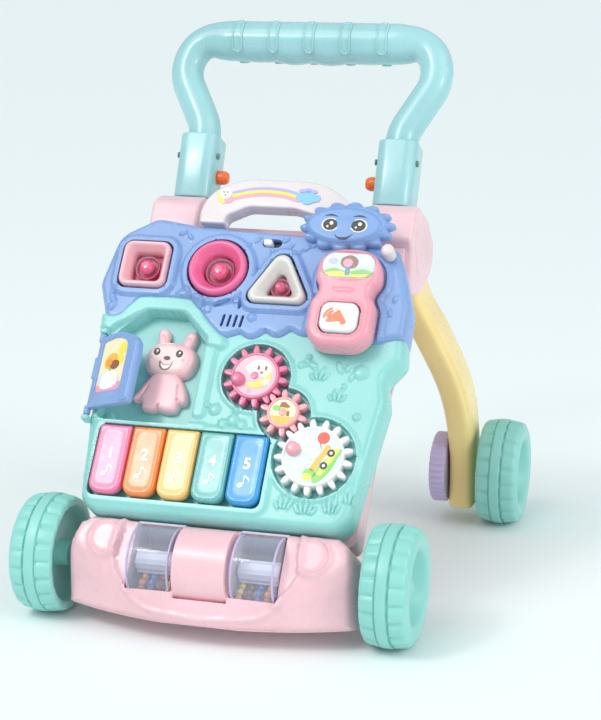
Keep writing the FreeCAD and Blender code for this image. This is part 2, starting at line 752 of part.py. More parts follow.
def panel_top():
    sun = new_body("sun_face", PANEL)
    rays = []
    corner_count = 28
    for index in range(corner_count):
        reach = 1 if index % 2 else 0.84
        angle = 2 * math.pi * index / corner_count
        rays.append((81 + 46 * reach * math.cos(angle),
                     size("sun_height") + 26.5 * reach * math.sin(angle)))
    pad(sun, [plain(rays)], "blue_rise + 0.4", 18)
    handle = new_body("carry_handle", PANEL)
    outer = [(-71, 287.6, 3), (80, 287.6, 3), (76, 318, 22), (35, 335, 30), (-40, 335, 25),
             (-74, 312, 22)]
    opening = [(-46, 280, 2), (52, 280, 2), (48, 299, 9), (20, 307, 25), (-25, 307, 20),
               (-46, 296, 8)]
    pad(handle, [rounded(outer)], -22, -4)
    pocket(handle, [rounded(opening)], -24, 0)
    switch = new_body("power_switch", PANEL)
    pad(switch, [rectangle(0.8, 8.8, 261.5, 267.5)], -2, 8.5)


# ---- back frame, posts, handle ---------------------------------------------------------------

def upright_box(half, low, high, radius):
    """Corners of a rounded box across X = 0."""
    return [(f"-({half})", low, radius), (half, low, radius), (half, high, radius),
            (f"-({half})", high, radius)]


def back_frame():
    body = new_body("back_frame", PANEL)
    ladder = upright_box("rail_outer", -9.4, 300, 8)
    windows = [upright_box("rail_inner", 22, 150, 12), upright_box("rail_inner", 172, 272, 12)]
    pad(body, [rounded(ladder)] + [rounded(window) for window in windows], "rail_back",
        "rail_front")
    ear = [(286, -38), (290, -28), (320, -26), (334.1, -40.5), (342.8, -83.6), (336, -122),
           (318, -132), (293, -120), (267, -97), (248, -60)]
    slot = [(302, -74), (331, -119), (311, -170), (248, -128), (268, -88)]
    for side in SIDES:
        low, high = sided(side, 82, 131.5)
        pad(body, [plain(ear)], low, high, plane="YZ")
    for side in SIDES:
        low, high = sided(side, 92.5, 128.3)
        pocket(body, [plain(slot)], low, high, plane="YZ")


def posts():
    pins = []
    for side in SIDES:
        name = side_name(side)
        body = new_body(f"post_{name}", HANDLE)
        middle = side * size("post_half")
        outer = [(middle - 19.6, -22, 13), (middle + 19.6, -22, 13), (middle + 19.6, 22, 13),
                 (middle - 19.6, 22, 13)]
        pad(body, [rounded(outer)], "-(post_top)", "-(post_bottom)", plane="XZ")
        pocket(body, [ring(middle, 0, "post_bore")], "-(post_top) - 1", 37.5, plane="XZ")
        low, high = sided(side, 78, 90)
        pocket(body, [ring("lock_height", 0, "lock_radius + 0.4")], low, high, plane="YZ")
        lock = new_body(f"lock_button_{name}", HANDLE)
        low, high = sided(side, 70, 83)
        pad(lock, [ring("lock_height", 0, "lock_radius")], low, high, plane="YZ")
        low, high = sided(side, 82, 87)
        pad(lock, [ring("lock_height", 0, "lock_radius - 3.5")], low, high, plane="YZ")
        for spot in (79.6, 120.6):
            low, high = sided(side, spot, spot + 1.8)
            pins.append(cylinder(f"post_pin_{name}_{int(spot)}", 3, f"({high}) - ({low})",
                                 (low, 0, 10), AXIS_X, HANDLE))
    group("post_pins", pins)


def handle():
    body = new_body("handle", HANDLE)
    foot = -35
    path = [(101, foot, 0), (101, 33, 45), (132, 90, 38), (119, "bar_height", 26)]
    right = [tuple(size(number) for number in corner) for corner in path]
    left = [(-x, y, radius) for x, y, radius in reversed(right)]
    spine = draw(body, "XY", [])
    for edge in rounded_edges(right + left, closed=False):
        spine.addGeometry(edge, False)
    section = draw(body, "XZ", [ring(101, 0, "tube_radius")], -foot)
    pipe = body.newObject("PartDesign::AdditivePipe", "handle_pipe")
    pipe.Profile = section
    pipe.Spine = (spine, [])
    grip = [(-96, 12), (-82, "grip_radius")]
    for index in range(-2, 3):
        middle = 37 * index
        grip += [(middle - 4, "grip_radius"), (middle - 3, "rib_radius"),
                 (middle + 3, "rib_radius"), (middle + 4, "grip_radius")]
    grip += [(82, "grip_radius"), (96, 12), (96, 0), (-96, 0)]
    turn = body.newObject("PartDesign::Revolution", "handle_grip")
    sketch = draw(body, "XY", [plain(grip)])
    sketch.AttachmentOffset = Placement(Vector(0, size("bar_height"), 0), Rotation())
    turn.Profile = sketch
    turn.ReferenceAxis = (sketch, ["H_Axis"])
    turn.Angle = 360
    for side in SIDES:
        low, high = (84, 97) if side > 0 else (-97, -84)
        pocket(body, [rectangle(low, high, foot - 1, "lock_height + 8.5")], -8.5, 8.5)


# ---- rear legs and knobs ---------------------------------------------------------------------

LEG_SECTIONS = (
    (16, 151, 185, 13.5, 23), (80, 151, 183.5, 14, 25), (145, 146.5, 160, 15, 31),
    (220, 127, 113, 16, 33), (265, 112, 87, 15.5, 30), (298, 110, 71, 15.5, 27),
)


def rear_legs():
    for side in SIDES:
        name = side_name(side)
        body = new_body(f"rear_leg_{name}")
        sections = []
        for height, x, y, half_x, half_y in LEG_SECTIONS:
            middle = side * x
            box = [(middle - half_x, y - half_y, 9), (middle + half_x, y - half_y, 9),
                   (middle + half_x, y + half_y, 9), (middle - half_x, y + half_y, 9)]
            sections.append((height, rounded(box)))
        loft(body, sections)
        low, high = sided(side, 130, 172)
        pocket(body, [ring("rear_axle_y", "axle_height", "axle_radius")], low, high, plane="YZ")
        knob = new_body(f"speed_knob_{name}")
        knob.Placement.Base = Vector(0, size("rear_axle_y"), size("axle_height"))
        ridges = []
        count = 36
        for index in range(2 * count):
            reach = size("knob_radius") - (0 if index % 2 else 1.6)
            angle = math.pi * index / count
            ridges.append((reach * math.cos(angle), reach * math.sin(angle)))
        low, high = sided(side, "knob_inner", "knob_outer")
        pad(knob, [plain(ridges)], low, high, plane="YZ")
        low, high = sided(side, "knob_inner + 2.5", "knob_outer + 1")
        pocket(knob, [ring(0, 0, "axle_radius + running_gap")], low, high, plane="YZ")


def frame_screws():
    """Screws that hold the bottom cover, and the rails on the base."""
    spots = [(side * x, y) for side in SIDES for x, y in ((118, -150), (50, -140), (112, -196))]
    heads = [cylinder(f"base_screw_{index}", 3.5, 2, (x, y, size("base_foot") - 2.1),
                      Vector(0, 0, 1))
             for index, (x, y) in enumerate(spots)]
    group("base_screws", heads)


# ---- assembly --------------------------------------------------------------------------------

def check_and_write():
    doc.recompute()
    faulty = [item.Name for item in doc.Objects
              if "Invalid" in item.State or "Error" in item.State]
    for node in NODES:
        if node.Shape.isNull() or not node.Shape.isValid():
            faulty.append(node.Label + " (shape)")
    if faulty:
        raise RuntimeError("failed objects: " + ", ".join(faulty))
    os.makedirs("parts", exist_ok=True)
    for node in NODES:
        node.Shape.exportStep(f"parts/{node.Label}.step")
    print(len(NODES), "nodes written")


wheels_and_axles()
drums()
base()
panel_lower()
panel_upper()
panel_back()
gears()
keys()
shape_buttons()
door_and_bunny()
phone()
panel_top()
back_frame()
posts()
handle()
rear_legs()
frame_screws()
check_and_write()
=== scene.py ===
import math
from contextlib import contextmanager

import bmesh
import bpy
import numpy as np
from mathutils import Matrix, Vector
from mathutils.geometry import delaunay_2d_cdt


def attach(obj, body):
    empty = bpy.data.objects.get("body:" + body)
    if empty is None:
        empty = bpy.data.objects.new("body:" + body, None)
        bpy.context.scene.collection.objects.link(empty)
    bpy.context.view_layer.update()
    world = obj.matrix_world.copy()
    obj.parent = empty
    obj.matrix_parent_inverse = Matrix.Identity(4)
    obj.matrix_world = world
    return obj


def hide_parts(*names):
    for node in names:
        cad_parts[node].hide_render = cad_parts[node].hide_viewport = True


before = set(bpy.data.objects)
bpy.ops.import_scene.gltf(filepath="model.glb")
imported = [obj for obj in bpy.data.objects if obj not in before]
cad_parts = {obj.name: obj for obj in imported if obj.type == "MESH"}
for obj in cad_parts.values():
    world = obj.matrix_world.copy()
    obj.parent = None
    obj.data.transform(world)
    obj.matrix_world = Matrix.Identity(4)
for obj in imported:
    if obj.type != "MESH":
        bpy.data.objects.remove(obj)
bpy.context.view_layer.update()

MM = 0.001
TAU = 2 * math.pi

# ---- frames: row frame, the leaning panel and the leaning handle (mm) ------------------------

PANEL_LEAN = math.radians(36.74)
PANEL_FOOT = Vector((0, -194, 112))
HANDLE_LEAN = math.radians(25.4)
HANDLE_FOOT = Vector((0, 78, 387))
WHEEL_HEIGHT = 55
FRONT_AXLE_Y = -180
REAR_AXLE_Y = 185
FRONT_TRACK, REAR_TRACK = 162, 192
DRUM_Y, DRUM_Z = -205, 65
SIDES = (-1, 1)


def leaning(foot, lean):
    """Matrix from a flat frame (X across, Y up the slope, Z outwards) in mm to the row frame."""
    across = Vector((1, 0, 0))
    up = Vector((0, math.sin(lean), math.cos(lean)))
    out = Vector((0, -math.cos(lean), math.sin(lean)))
    turn = Matrix((across, up, out)).transposed().to_4x4()
    return Matrix.Translation(foot * MM) @ turn @ Matrix.Scale(MM, 4)


PANEL = leaning(PANEL_FOOT, PANEL_LEAN)
HANDLE = leaning(HANDLE_FOOT, HANDLE_LEAN)
ROW = Matrix.Scale(MM, 4)


def facing_x(x, y, z):
    """Matrix whose Z axis is the row's +X, with X to the back and Y up, placed at x, y, z mm."""
    turn = Matrix(((0, 0, 1), (1, 0, 0), (0, 1, 0))).to_4x4()
    return Matrix.Translation(Vector((x, y, z)) * MM) @ turn @ Matrix.Scale(MM, 4)


# ---- materials -------------------------------------------------------------------------------

def node(tree, kind, **values):
    """New shader node; a value sets a property or an input, or is a socket to link."""
    item = tree.nodes.new(kind)
    for name, value in values.items():
        if hasattr(item, name):
            setattr(item, name, value)
        elif isinstance(value, bpy.types.NodeSocket):
            tree.links.new(value, item.inputs[name.replace("_", " ")])
        else:
            item.inputs[name.replace("_", " ")].default_value = value
    return item


def plastic(name, colour, roughness=0.28, grain=0.12, wear=0.25, shade=0.07, soft=0.08, coat=0.12):
    """Moulded plastic: fine texture, slight colour drift, paler worn edges, soft scatter."""
    material = bpy.data.materials.new(name)
    material.use_nodes = True
    tree = material.node_tree
    tree.nodes.clear()
    place = node(tree, "ShaderNodeTexCoord").outputs["Object"]
    drift, fine, scuff = (
        node(tree, "ShaderNodeTexNoise", Vector=place, Scale=scale, Detail=detail,
             Roughness=rough).outputs["Fac"]
        for scale, detail, rough in ((14.0, 3.0, 0.5), (900.0, 2.0, 0.5), (90.0, 6.0, 0.7)))
    ramp = node(tree, "ShaderNodeValToRGB", Fac=drift)
    dark, light = ramp.color_ramp.elements
    dark.position, light.position = 0.3, 0.7
    dark.color = (*[channel * (1 - shade) for channel in colour], 1)
    light.color = (*[min(1, channel * (1 + shade * 0.5) + 0.01) for channel in colour], 1)
    edge = node(tree, "ShaderNodeMapRange", From_Min=0.53, From_Max=0.62,
                Value=node(tree, "ShaderNodeNewGeometry").outputs["Pointiness"])
    worn = node(tree, "ShaderNodeMath", operation="MULTIPLY", Value=edge.outputs["Result"])
    tree.links.new(scuff, worn.inputs[1])
    amount = node(tree, "ShaderNodeMath", operation="MULTIPLY", Value=worn.outputs[0])
    amount.inputs[1].default_value = wear
    mix = node(tree, "ShaderNodeMix", data_type="RGBA", Factor=amount.outputs[0],
               A=ramp.outputs["Color"],
               B=(*[min(1, channel * 0.5 + 0.5) for channel in colour], 1))
    gloss = node(tree, "ShaderNodeMapRange", Value=scuff, From_Min=0.3, From_Max=0.75,
                 To_Min=roughness - 0.05, To_Max=roughness + 0.10)
    bump = node(tree, "ShaderNodeBump", Height=fine, Strength=grain, Distance=0.0004)
    shader = node(tree, "ShaderNodeBsdfPrincipled", Base_Color=mix.outputs["Result"],
                  Roughness=gloss.outputs["Result"], Normal=bump.outputs["Normal"],
                  Subsurface_Weight=soft, Subsurface_Radius=(1.0, 0.7, 0.6),
                  Subsurface_Scale=0.004, Coat_Weight=coat, Coat_Roughness=0.15, IOR=1.48)
    node(tree, "ShaderNodeOutputMaterial", Surface=shader.outputs["BSDF"])
    return material


def inputs_of(tree, kind="BSDF_PRINCIPLED"):
    """Inputs of the tree's shader of one kind."""
    return next(item for item in tree.nodes if item.type == kind).inputs


def glassy(name, colour, alpha):
    """Thin clear plastic: mostly see-through, with a sharp gloss and faint moulding marks."""
    material = plastic(name, colour, roughness=0.11, grain=0.02, wear=0.1, soft=0.0, coat=1.0)
    tree = material.node_tree
    facing = node(tree, "ShaderNodeLayerWeight", Blend=0.35).outputs["Facing"]
    opacity = node(tree, "ShaderNodeMapRange", Value=facing, From_Min=0.0, From_Max=1.0,
                   To_Min=alpha * 0.6, To_Max=min(1.0, alpha * 2.2))
    inputs_of(tree)["Coat Roughness"].default_value = 0.03
    tree.links.new(opacity.outputs["Result"], inputs_of(tree)["Alpha"])
    return material


def steel():
    """Metallic steel with a fine grain and paler worn edges."""
    material = plastic("steel_pin", (0.62, 0.62, 0.64), grain=0.06, wear=0.4, soft=0.0)
    inputs_of(material.node_tree)["Metallic"].default_value = 1.0
    return material


TEAL = (0.29, 0.67, 0.635)
HANDLE_TEAL = (0.35, 0.645, 0.67)
BLUE = (0.225, 0.375, 0.69)
PINK = (0.91, 0.575, 0.63)
FRAME_PINK = (0.92, 0.61, 0.655)
# YELLOW, used only by the rear legs, is partly the plastic's own yellow and partly painted light:
# it is brighter than the plastic to make up for the panel's shadow on the legs.
YELLOW = (1.0, 0.755, 0.32)
LAVENDER = (0.58, 0.51, 0.75)
WHITE = (0.84, 0.84, 0.85)


def paint(name, colour):
    """Printed film: nearly flat, with a slight gloss."""
    return plastic(name, colour, roughness=0.3, grain=0.03, wear=0.05, shade=0.03, soft=0.0)


# ---- outlines (mm) ---------------------------------------------------------------------------

def smooth(points, steps=8):
    """Closed curve through the points."""
    count = len(points)
    curve = []
    for index in range(count):
        p0, p1, p2, p3 = (np.array(points[(index + shift) % count], float)
                          for shift in (-1, 0, 1, 2))
        for step in range(steps):
            t = step / steps
            curve.append(tuple(0.5 * (2 * p1 + (p2 - p0) * t + (2 * p0 - 5 * p1 + 4 * p2 - p3)
                                      * t ** 2 + (3 * p1 - p0 - 3 * p2 + p3) * t ** 3)))
    return curve


def circle(x, y, radius, steps=64, tall=None):
    """Circle, or an ellipse where the half height tall is given."""
    tall = radius if tall is None else tall
    return [(x + radius * math.cos(TAU * index / steps), y + tall * math.sin(TAU * index / steps))
            for index in range(steps)]


def spin(outline, angle, x=0.0, y=0.0):
    """The outline turned by angle (degrees) about the origin, then moved to x, y."""
    turn = math.radians(angle)
    return [(x + a * math.cos(turn) - b * math.sin(turn),
             y + a * math.sin(turn) + b * math.cos(turn)) for a, b in outline]


def rounded(points, steps=8):
    """Polygon with corners (x, y, radius) turned into arcs."""
    outline = []
    count = len(points)
    for index, (x, y, radius) in enumerate(points):
        here = np.array((x, y), float)
        back = np.array(points[index - 1][:2], float) - here
        ahead = np.array(points[(index + 1) % count][:2], float) - here
        back /= np.linalg.norm(back)
        ahead /= np.linalg.norm(ahead)
        half = math.acos(max(-1, min(1, float(back @ ahead)))) / 2
        if radius <= 0 or half > 1.55:
            outline.append((x, y))
            continue
        reach = radius / math.tan(half)
        bisector = (back + ahead) / np.linalg.norm(back + ahead)
        centre = here + bisector * radius / math.sin(half)
        start = here + back * reach - centre
        end = here + ahead * reach - centre
        first = math.atan2(start[1], start[0])
        turn = math.atan2(end[1], end[0]) - first
        turn = (turn + math.pi) % TAU - math.pi
        for step in range(steps + 1):
            angle = first + turn * step / steps
            outline.append((centre[0] + radius * math.cos(angle),
                            centre[1] + radius * math.sin(angle)))
    return outline


def box_outline(x0, x1, y0, y1, radius=2.0, steps=6):
    return rounded([(x0, y0, radius), (x1, y0, radius), (x1, y1, radius), (x0, y1, radius)], steps)


def offset(outline, depth):
    """The closed outline moved inwards by depth (anticlockwise outlines)."""
    points = np.array(outline, float)
    lead = points - np.roll(points, 1, axis=0)
    trail = np.roll(points, -1, axis=0) - points
    tangent = lead / np.maximum(np.linalg.norm(lead, axis=1), 1e-9)[:, None]
    tangent = tangent + trail / np.maximum(np.linalg.norm(trail, axis=1), 1e-9)[:, None]
    tangent /= np.maximum(np.linalg.norm(tangent, axis=1), 1e-9)[:, None]
    normal = np.stack([-tangent[:, 1], tangent[:, 0]], axis=1)
    return [tuple(point) for point in points + normal * depth]


def resample(points, spacing, closed=True):
    """Points evenly spaced along the outline, or along an open line with both its ends."""
    points = np.array(points + points[:closed], float)
    lengths = np.concatenate([[0], np.cumsum(np.linalg.norm(np.diff(points, axis=0), axis=1))])
    count = max(8, int(lengths[-1] / spacing))
    stations = np.linspace(0, lengths[-1], count, endpoint=not closed)
    return [(float(np.interp(s, lengths, points[:, 0])),
             float(np.interp(s, lengths, points[:, 1]))) for s in stations]


def distance_inside(points, outline):
    """Signed distance to the outline, positive inside, for an array of points."""
    outline = np.array(outline, float)
    start, end = outline, np.roll(outline, -1, axis=0)
    best = np.full(len(points), 1e9)
    inside = np.zeros(len(points), bool)
    for a, b in zip(start, end):
        edge = b - a
        along = np.clip(((points - a) @ edge) / max(edge @ edge, 1e-12), 0, 1)
        gap = np.linalg.norm(points - a - along[:, None] * edge, axis=1)
        best = np.minimum(best, gap)
        if a[1] != b[1]:
            crosses = (points[:, 1] > a[1]) != (points[:, 1] > b[1])
            where = a[0] + (points[:, 1] - a[1]) * edge[0] / edge[1]
            inside ^= crosses & (points[:, 0] < where)
    return np.where(inside, best, -best)


def ease(value):
    """Smooth step from 0 to 1."""
    value = np.clip(value, 0, 1)
    return value * value * (3 - 2 * value)


# ---- mesh makers -----------------------------------------------------------------------------

def finish_piece(name, mesh, material, body, replaces, matrix, crease):
    """Object from a mesh in the given frame, with material, ride and replaced nodes."""
    mesh.transform(matrix)
    thing = bpy.data.objects.new(name, mesh)
    bpy.context.scene.collection.objects.link(thing)
    mesh.materials.append(material)
    mesh.polygons.foreach_set("use_smooth", [True] * len(mesh.polygons))
    mesh.set_sharp_from_angle(angle=math.radians(crease))
    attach(thing, body)
    if replaces:
        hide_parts(*replaces)
    return thing


@contextmanager
def editing(mesh):
    """The mesh as a BMesh, written back when the block ends."""
    working = bmesh.new()
    working.from_mesh(mesh)
    yield working
    working.to_mesh(mesh)
    working.free()


def mesh_from(vertices, faces, name):
    """Mesh with coinciding points merged and its faces turned outwards."""
    mesh = bpy.data.meshes.new(name)
    mesh.from_pydata(vertices, [], faces)
    mesh.validate()
    with editing(mesh) as working:
        bmesh.ops.remove_doubles(working, verts=working.verts, dist=1e-5)
        bmesh.ops.recalc_face_normals(working, faces=working.faces)
    return mesh


def triangulated(loops, extra=()):
    """Triangles inside the first loop and outside the others; extra points and closed chains."""
    points = []
    edges = []
    for loop in loops:
        first = len(points)
        points += [Vector(point) for point in loop]
        edges += [(first + index, first + (index + 1) % len(loop)) for index in range(len(loop))]
    for chain in extra:
        first = len(points)
        points += [Vector(point) for point in chain]
        if len(chain) > 1:
            edges += [(first + index, first + (index + 1) % len(chain))
                      for index in range(len(chain))]
    result = delaunay_2d_cdt(points, edges, [], 0, 1e-4)
    vertices = np.array([tuple(point) for point in result[0]])
    faces = np.array([list(face) for face in result[2]])
    middles = vertices[faces].mean(axis=1)
    keep = distance_inside(middles, loops[0]) > 0
    for hole in loops[1:]:
        keep &= distance_inside(middles, hole) < 0
    return vertices, faces[keep]


def slab(name, outline, low, high, material, body, holes=(), bevel=1.0, matrix=PANEL,
         replaces=(), slot=None, segments=3):
    """Plate between two heights with rounded rims."""
    vertices, faces = triangulated([outline, *holes])
    count = len(vertices)
    bottom = [(x, y, low) for x, y in vertices]
    top = [(x, y, high) for x, y in vertices]
    triangles = [tuple(face) for face in faces + count]
    triangles += [tuple(face[::-1]) for face in faces]
    sides = {}
    for face in faces:
        for a, b in zip(face, np.roll(face, -1)):
            sides[(a, b)] = sides.get((a, b), 0) + 1
    for a, b in sides:
        if (b, a) not in sides:
            triangles.append((a, b, b + count, a + count))
    mesh = mesh_from(bottom + top, triangles, name)
    with editing(mesh) as working:
        bmesh.ops.dissolve_limit(working, angle_limit=0.01, verts=working.verts,
                                 edges=working.edges)
        if bevel:
            rims = [edge for edge in working.edges if len(edge.link_faces) == 2
                    and edge.calc_face_angle(0) > 1.0
                    and abs(edge.verts[0].co.z - edge.verts[1].co.z) < 1e-4]
            bmesh.ops.bevel(working, geom=rims, offset=bevel, segments=segments, profile=0.5,
                            affect="EDGES", clamp_overlap=True)
        bmesh.ops.triangulate(working, faces=[face for face in working.faces
                                              if len(face.verts) > 4])
    return finish_piece(name, mesh, material, body, replaces, matrix, crease=50)


def turned(name, profile, material, body, matrix=PANEL, replaces=(), steps=72,
           shape=None, crease=40):
    """Solid of revolution about local Z: profile points (radius, height); shape displaces it."""
    count = len(profile)
    rings = []
    for step in range(steps):
        angle = TAU * step / steps
        for radius, height in profile:
            if shape:
                radius, height = shape(radius, height, angle)
            rings.append((radius * math.cos(angle), radius * math.sin(angle), height))
    faces = []
    for step in range(steps):
        after = (step + 1) % steps
        for index in range(count - 1):
            faces.append((step * count + index, after * count + index,
                          after * count + index + 1, step * count + index + 1))
    mesh = mesh_from(rings, faces, name)
    return finish_piece(name, mesh, material, body, replaces, matrix, crease=crease)


def fillet_profile(points, steps=5):
    """Open profile of (radius, height, rounding) with its corners turned into arcs."""
    last = len(points) - 1
    return rounded([(radius, height, rounding if 0 < index < last else 0)
                    for index, (radius, height, rounding) in enumerate(points)], steps)


def tube(name, path, radius, material, body, matrix, steps=16):
    """Round bar along points."""
    points = [Vector(point) for point in path]
    count = len(points)
    rings = []
    normal = None
    for index, point in enumerate(points):
        before = points[max(index - 1, 0)]
        after = points[min(index + 1, count - 1)]
        along = (after - before).normalized()
        if normal is None:
            normal = along.orthogonal().normalized()
        normal = (normal - along * normal.dot(along)).normalized()
        side = along.cross(normal)
        rings.append([tuple(point + normal * radius * math.cos(TAU * step / steps)
                            + side * radius * math.sin(TAU * step / steps))
                      for step in range(steps)])
    return lofted(name, rings, material, body, matrix, crease=60)


def moulded(name, outline, features, base, skirt, material, body, replaces=(),
            matrix=PANEL, spacing=2.2, rim=5.0, holes=(), cap=True, bend=None):
    """Freeform moulding: a face whose height follows features, a rounded rim and a skirt.

    A feature is (outline, height, edge, kind): kind "add" raises or sinks, "set" levels,
    "lift" raises to a height, "dome" swells towards the middle. A height may be a function
    of the points. bend(x, y, z) carries the finished points to their frame, and skirt says
    where the rim's points are carried on to.
    """
    outline = resample(outline, 2.0)
    holes = [resample(hole, 1.6) for hole in holes]
    chains = [offset(outline, depth) for depth in (0.4 * rim, rim)]
    for hole in holes:
        chains.append(offset(hole[::-1], 0.8)[::-1])
    for shape, _, edge, _ in features:
        loop = resample(shape, 1.7)
        for shift in (edge * 0.5, -edge * 0.5):
            ring_points = np.array(offset(loop, shift))
            inside = distance_inside(ring_points, outline) > 0.8
            for hole in holes:
                inside &= distance_inside(ring_points, hole) < -0.8
            chains += [[tuple(point)] for point in ring_points[inside]]
    low = np.min(outline, axis=0)
    high = np.max(outline, axis=0)
    grid = np.array([(x + (0.5 * spacing if row % 2 else 0), y)
                     for row, y in enumerate(np.arange(low[1], high[1], spacing * 0.87))
                     for x in np.arange(low[0], high[0], spacing)])
    keep = distance_inside(grid, outline) > rim * 0.5
    for hole in holes:
        keep &= distance_inside(grid, hole) < -1.0
    chains += [[tuple(point)] for point in grid[keep]]
    clean = [chain for chain in chains if len(chain) == 1 or min_inside(chain, outline)]
    vertices, faces = triangulated([outline] + holes, clean)
    heights = face_heights(vertices, outline, features, base, rim)
    top = [(x, y, z) for (x, y), z in zip(vertices, heights)]
    if bend:
        top = [bend(*point) for point in top]
    triangles = [tuple(face) for face in faces]
    edges = set()
    for face in faces:
        for a, b in zip(face, np.roll(face, -1)):
            edges.add((int(a), int(b)))
    border = [(a, b) for a, b in edges if (b, a) not in edges]
    lower = {}
    outer = np.abs(distance_inside(vertices, outline)) < 0.05
    for a, b in border:
        for index in (a, b):
            if index not in lower:
                lower[index] = len(top)
                point = top[index]
                top.append(skirt(point, outer[index]) if callable(skirt) else (*point[:2], skirt))
    for a, b in border:
        triangles.append((b, a, lower[a], lower[b]))
    mesh = mesh_from(top, triangles, name)
    if cap:
        close_back(mesh)
    return finish_piece(name, mesh, material, body, replaces, matrix, crease=45)


def min_inside(chain, outline):
    """Whether the whole chain lies inside the outline."""
    return float(np.min(distance_inside(np.array(chain), outline))) > 0.05


def close_back(mesh):
    """Fill the open rim of a moulding's skirt."""
    with editing(mesh) as working:
        border = [edge for edge in working.edges if len(edge.link_faces) == 1]
        bmesh.ops.triangle_fill(working, use_beauty=True, edges=border)
        bmesh.ops.recalc_face_normals(working, faces=working.faces)


def face_heights(points, outline, features, base, rim):
    """Height of a moulding's face at the points, rounded off towards its rim."""
    heights = np.full(len(points), float(base))
    for shape, height, edge, kind in features:
        depth = distance_inside(points, resample(shape, 1.5))
        part = ease(0.5 + depth / edge)
        height = height(points) if callable(height) else height
        if kind == "add":
            heights += height * part
        elif kind == "set":
            heights = heights * (1 - part) + height * part
        elif kind == "lift":
            heights = np.maximum(heights, base + (height - base) * part)
        elif kind == "dome":
            reach = max(depth.max(), 1e-3)
            crown = np.sqrt(np.clip(1 - (1 - np.clip(depth / reach, 0, 1)) ** 2, 0, 1))
            heights += height * crown
    margin = distance_inside(points, outline)
    near = np.clip(margin, 0, rim)
    heights -= rim - np.sqrt(np.maximum(rim ** 2 - (rim - near) ** 2, 0))
    return heights


def lofted(name, loops, material, body, matrix=ROW, replaces=(), closed=False,
           crease=40):
    """Skin over loops of the same count, each a list of (x, y, z), with ends unless closed."""
    count = len(loops[0])
    vertices = [point for loop in loops for point in loop]
    faces = []
    for index in range(len(loops) if closed else len(loops) - 1):
        here = index * count
        after = (index + 1) % len(loops) * count
        faces += [(here + step, here + (step + 1) % count, after + (step + 1) % count,
                   after + step) for step in range(count)]
    if not closed:
        faces.append(tuple(range(count - 1, -1, -1)))
        faces.append(tuple((len(loops) - 1) * count + step for step in range(count)))
    mesh = mesh_from(vertices, faces, name)
    return finish_piece(name, mesh, material, body, replaces, matrix, crease=crease)


def spokes(outline, centre, steps=96):
    """Distances from the centre to the outline along evenly spaced directions."""
    points = np.array(outline, float) - np.array(centre)
    reach = []
    for step in range(steps):
        angle = TAU * step / steps
        along = np.array((math.cos(angle), math.sin(angle)))
        across = np.array((-along[1], along[0]))
        best = 0.0
        for a, b in zip(points, np.roll(points, -1, axis=0)):
            p, q = a @ across, b @ across
            if p * q <= 0 and p != q:
                best = max(best, float((a + (b - a) * p / (p - q)) @ along))
        reach.append(best)
    return reach


def spoke_loop(reach, centre, height):
    """Ring of points at the given distances from the centre."""
    steps = len(reach)
    return [(centre[0] + radius * math.cos(TAU * step / steps),
             centre[1] + radius * math.sin(TAU * step / steps), height)
            for step, radius in enumerate(reach)]


def decal(name, outline, height, material, body, matrix=PANEL, thick=0.3, slot="picture"):
    """Printed film on a flat face."""
    return slab(name, outline, height, height + thick, material, body, bevel=0, matrix=matrix,
                slot=slot)


def picture(prefix, base, body, matrix, rows):
    """Printed shapes, each (label, outline, material, height above the base)."""
    for label, outline, material, layer in rows:
        decal(prefix + label, outline, base + layer, material, body, matrix)


def pillow(name, outline, low, high, rim, material, body, matrix=PANEL, replaces=(),
           features=(), spacing=1.6):
    """Soft-edged raised solid."""
    return moulded(name, outline, list(features), high, low, material, body, replaces,
                   matrix, spacing=spacing, rim=rim)


# ---- colours of the parts --------------------------------------------------------------------

teal_plastic = plastic("teal_plastic", TEAL)
handle_plastic = plastic("handle_plastic", HANDLE_TEAL, roughness=0.24, coat=0.35)
tread_plastic = plastic("tread_plastic", (0.29, 0.68, 0.62), roughness=0.36, grain=0.25, wear=0.4)
blue_plastic = plastic("blue_plastic", BLUE)
pink_plastic = plastic("pink_plastic", PINK)
frame_plastic = plastic("frame_plastic", FRAME_PINK, roughness=0.3)
yellow_plastic = plastic("yellow_plastic", YELLOW, roughness=0.3, grain=0.05, wear=0.1)
lavender_plastic = plastic("lavender_plastic", LAVENDER, roughness=0.42)
white_plastic = plastic("white_plastic", WHITE, roughness=0.25, coat=0.3)
cream_plastic = plastic("cream_plastic", (0.74, 0.72, 0.68), roughness=0.25, coat=0.3)
shell_white = plastic("shell_white", (0.76, 0.69, 0.70), roughness=0.28, coat=0.2)
hot_pink_plastic = plastic("hot_pink_plastic", (0.86, 0.13, 0.32), roughness=0.25, coat=0.4)
pale_pink_plastic = plastic("pale_pink_plastic", (0.90, 0.50, 0.55), roughness=0.25, coat=0.3)
orange_plastic = plastic("orange_plastic", (0.98, 0.16, 0.02), roughness=0.28, coat=0.3)
green_pin_plastic = plastic("green_pin_plastic", (0.02, 0.16, 0.13), roughness=0.3)
gear_pink_plastic = plastic("gear_pink_plastic", (0.76, 0.17, 0.32), roughness=0.26, coat=0.3)
gear_pale_plastic = plastic("gear_pale_plastic", (0.84, 0.38, 0.42), roughness=0.26, coat=0.3)
black_plastic = plastic("black_plastic", (0.02, 0.02, 0.025), roughness=0.4)
board_green = plastic("board_green", (0.03, 0.16, 0.07), roughness=0.5, grain=0.3)
cell_wrap = plastic("cell_wrap", (0.05, 0.12, 0.35), roughness=0.3)
steel_pin = steel()
ink_black = paint("ink_black", (0.012, 0.012, 0.015))
ink_white = paint("ink_white", (0.92, 0.92, 0.92))
clear_plastic = glassy("clear_plastic", (0.85, 0.88, 0.95), alpha=0.10)
drum_plastic = glassy("drum_plastic", (0.78, 0.80, 0.97), alpha=0.20)
core_plastic = plastic("core_plastic", (0.74, 0.77, 0.93), roughness=0.2, coat=0.6)

# ---- lower panel -----------------------------------------------------------------------------

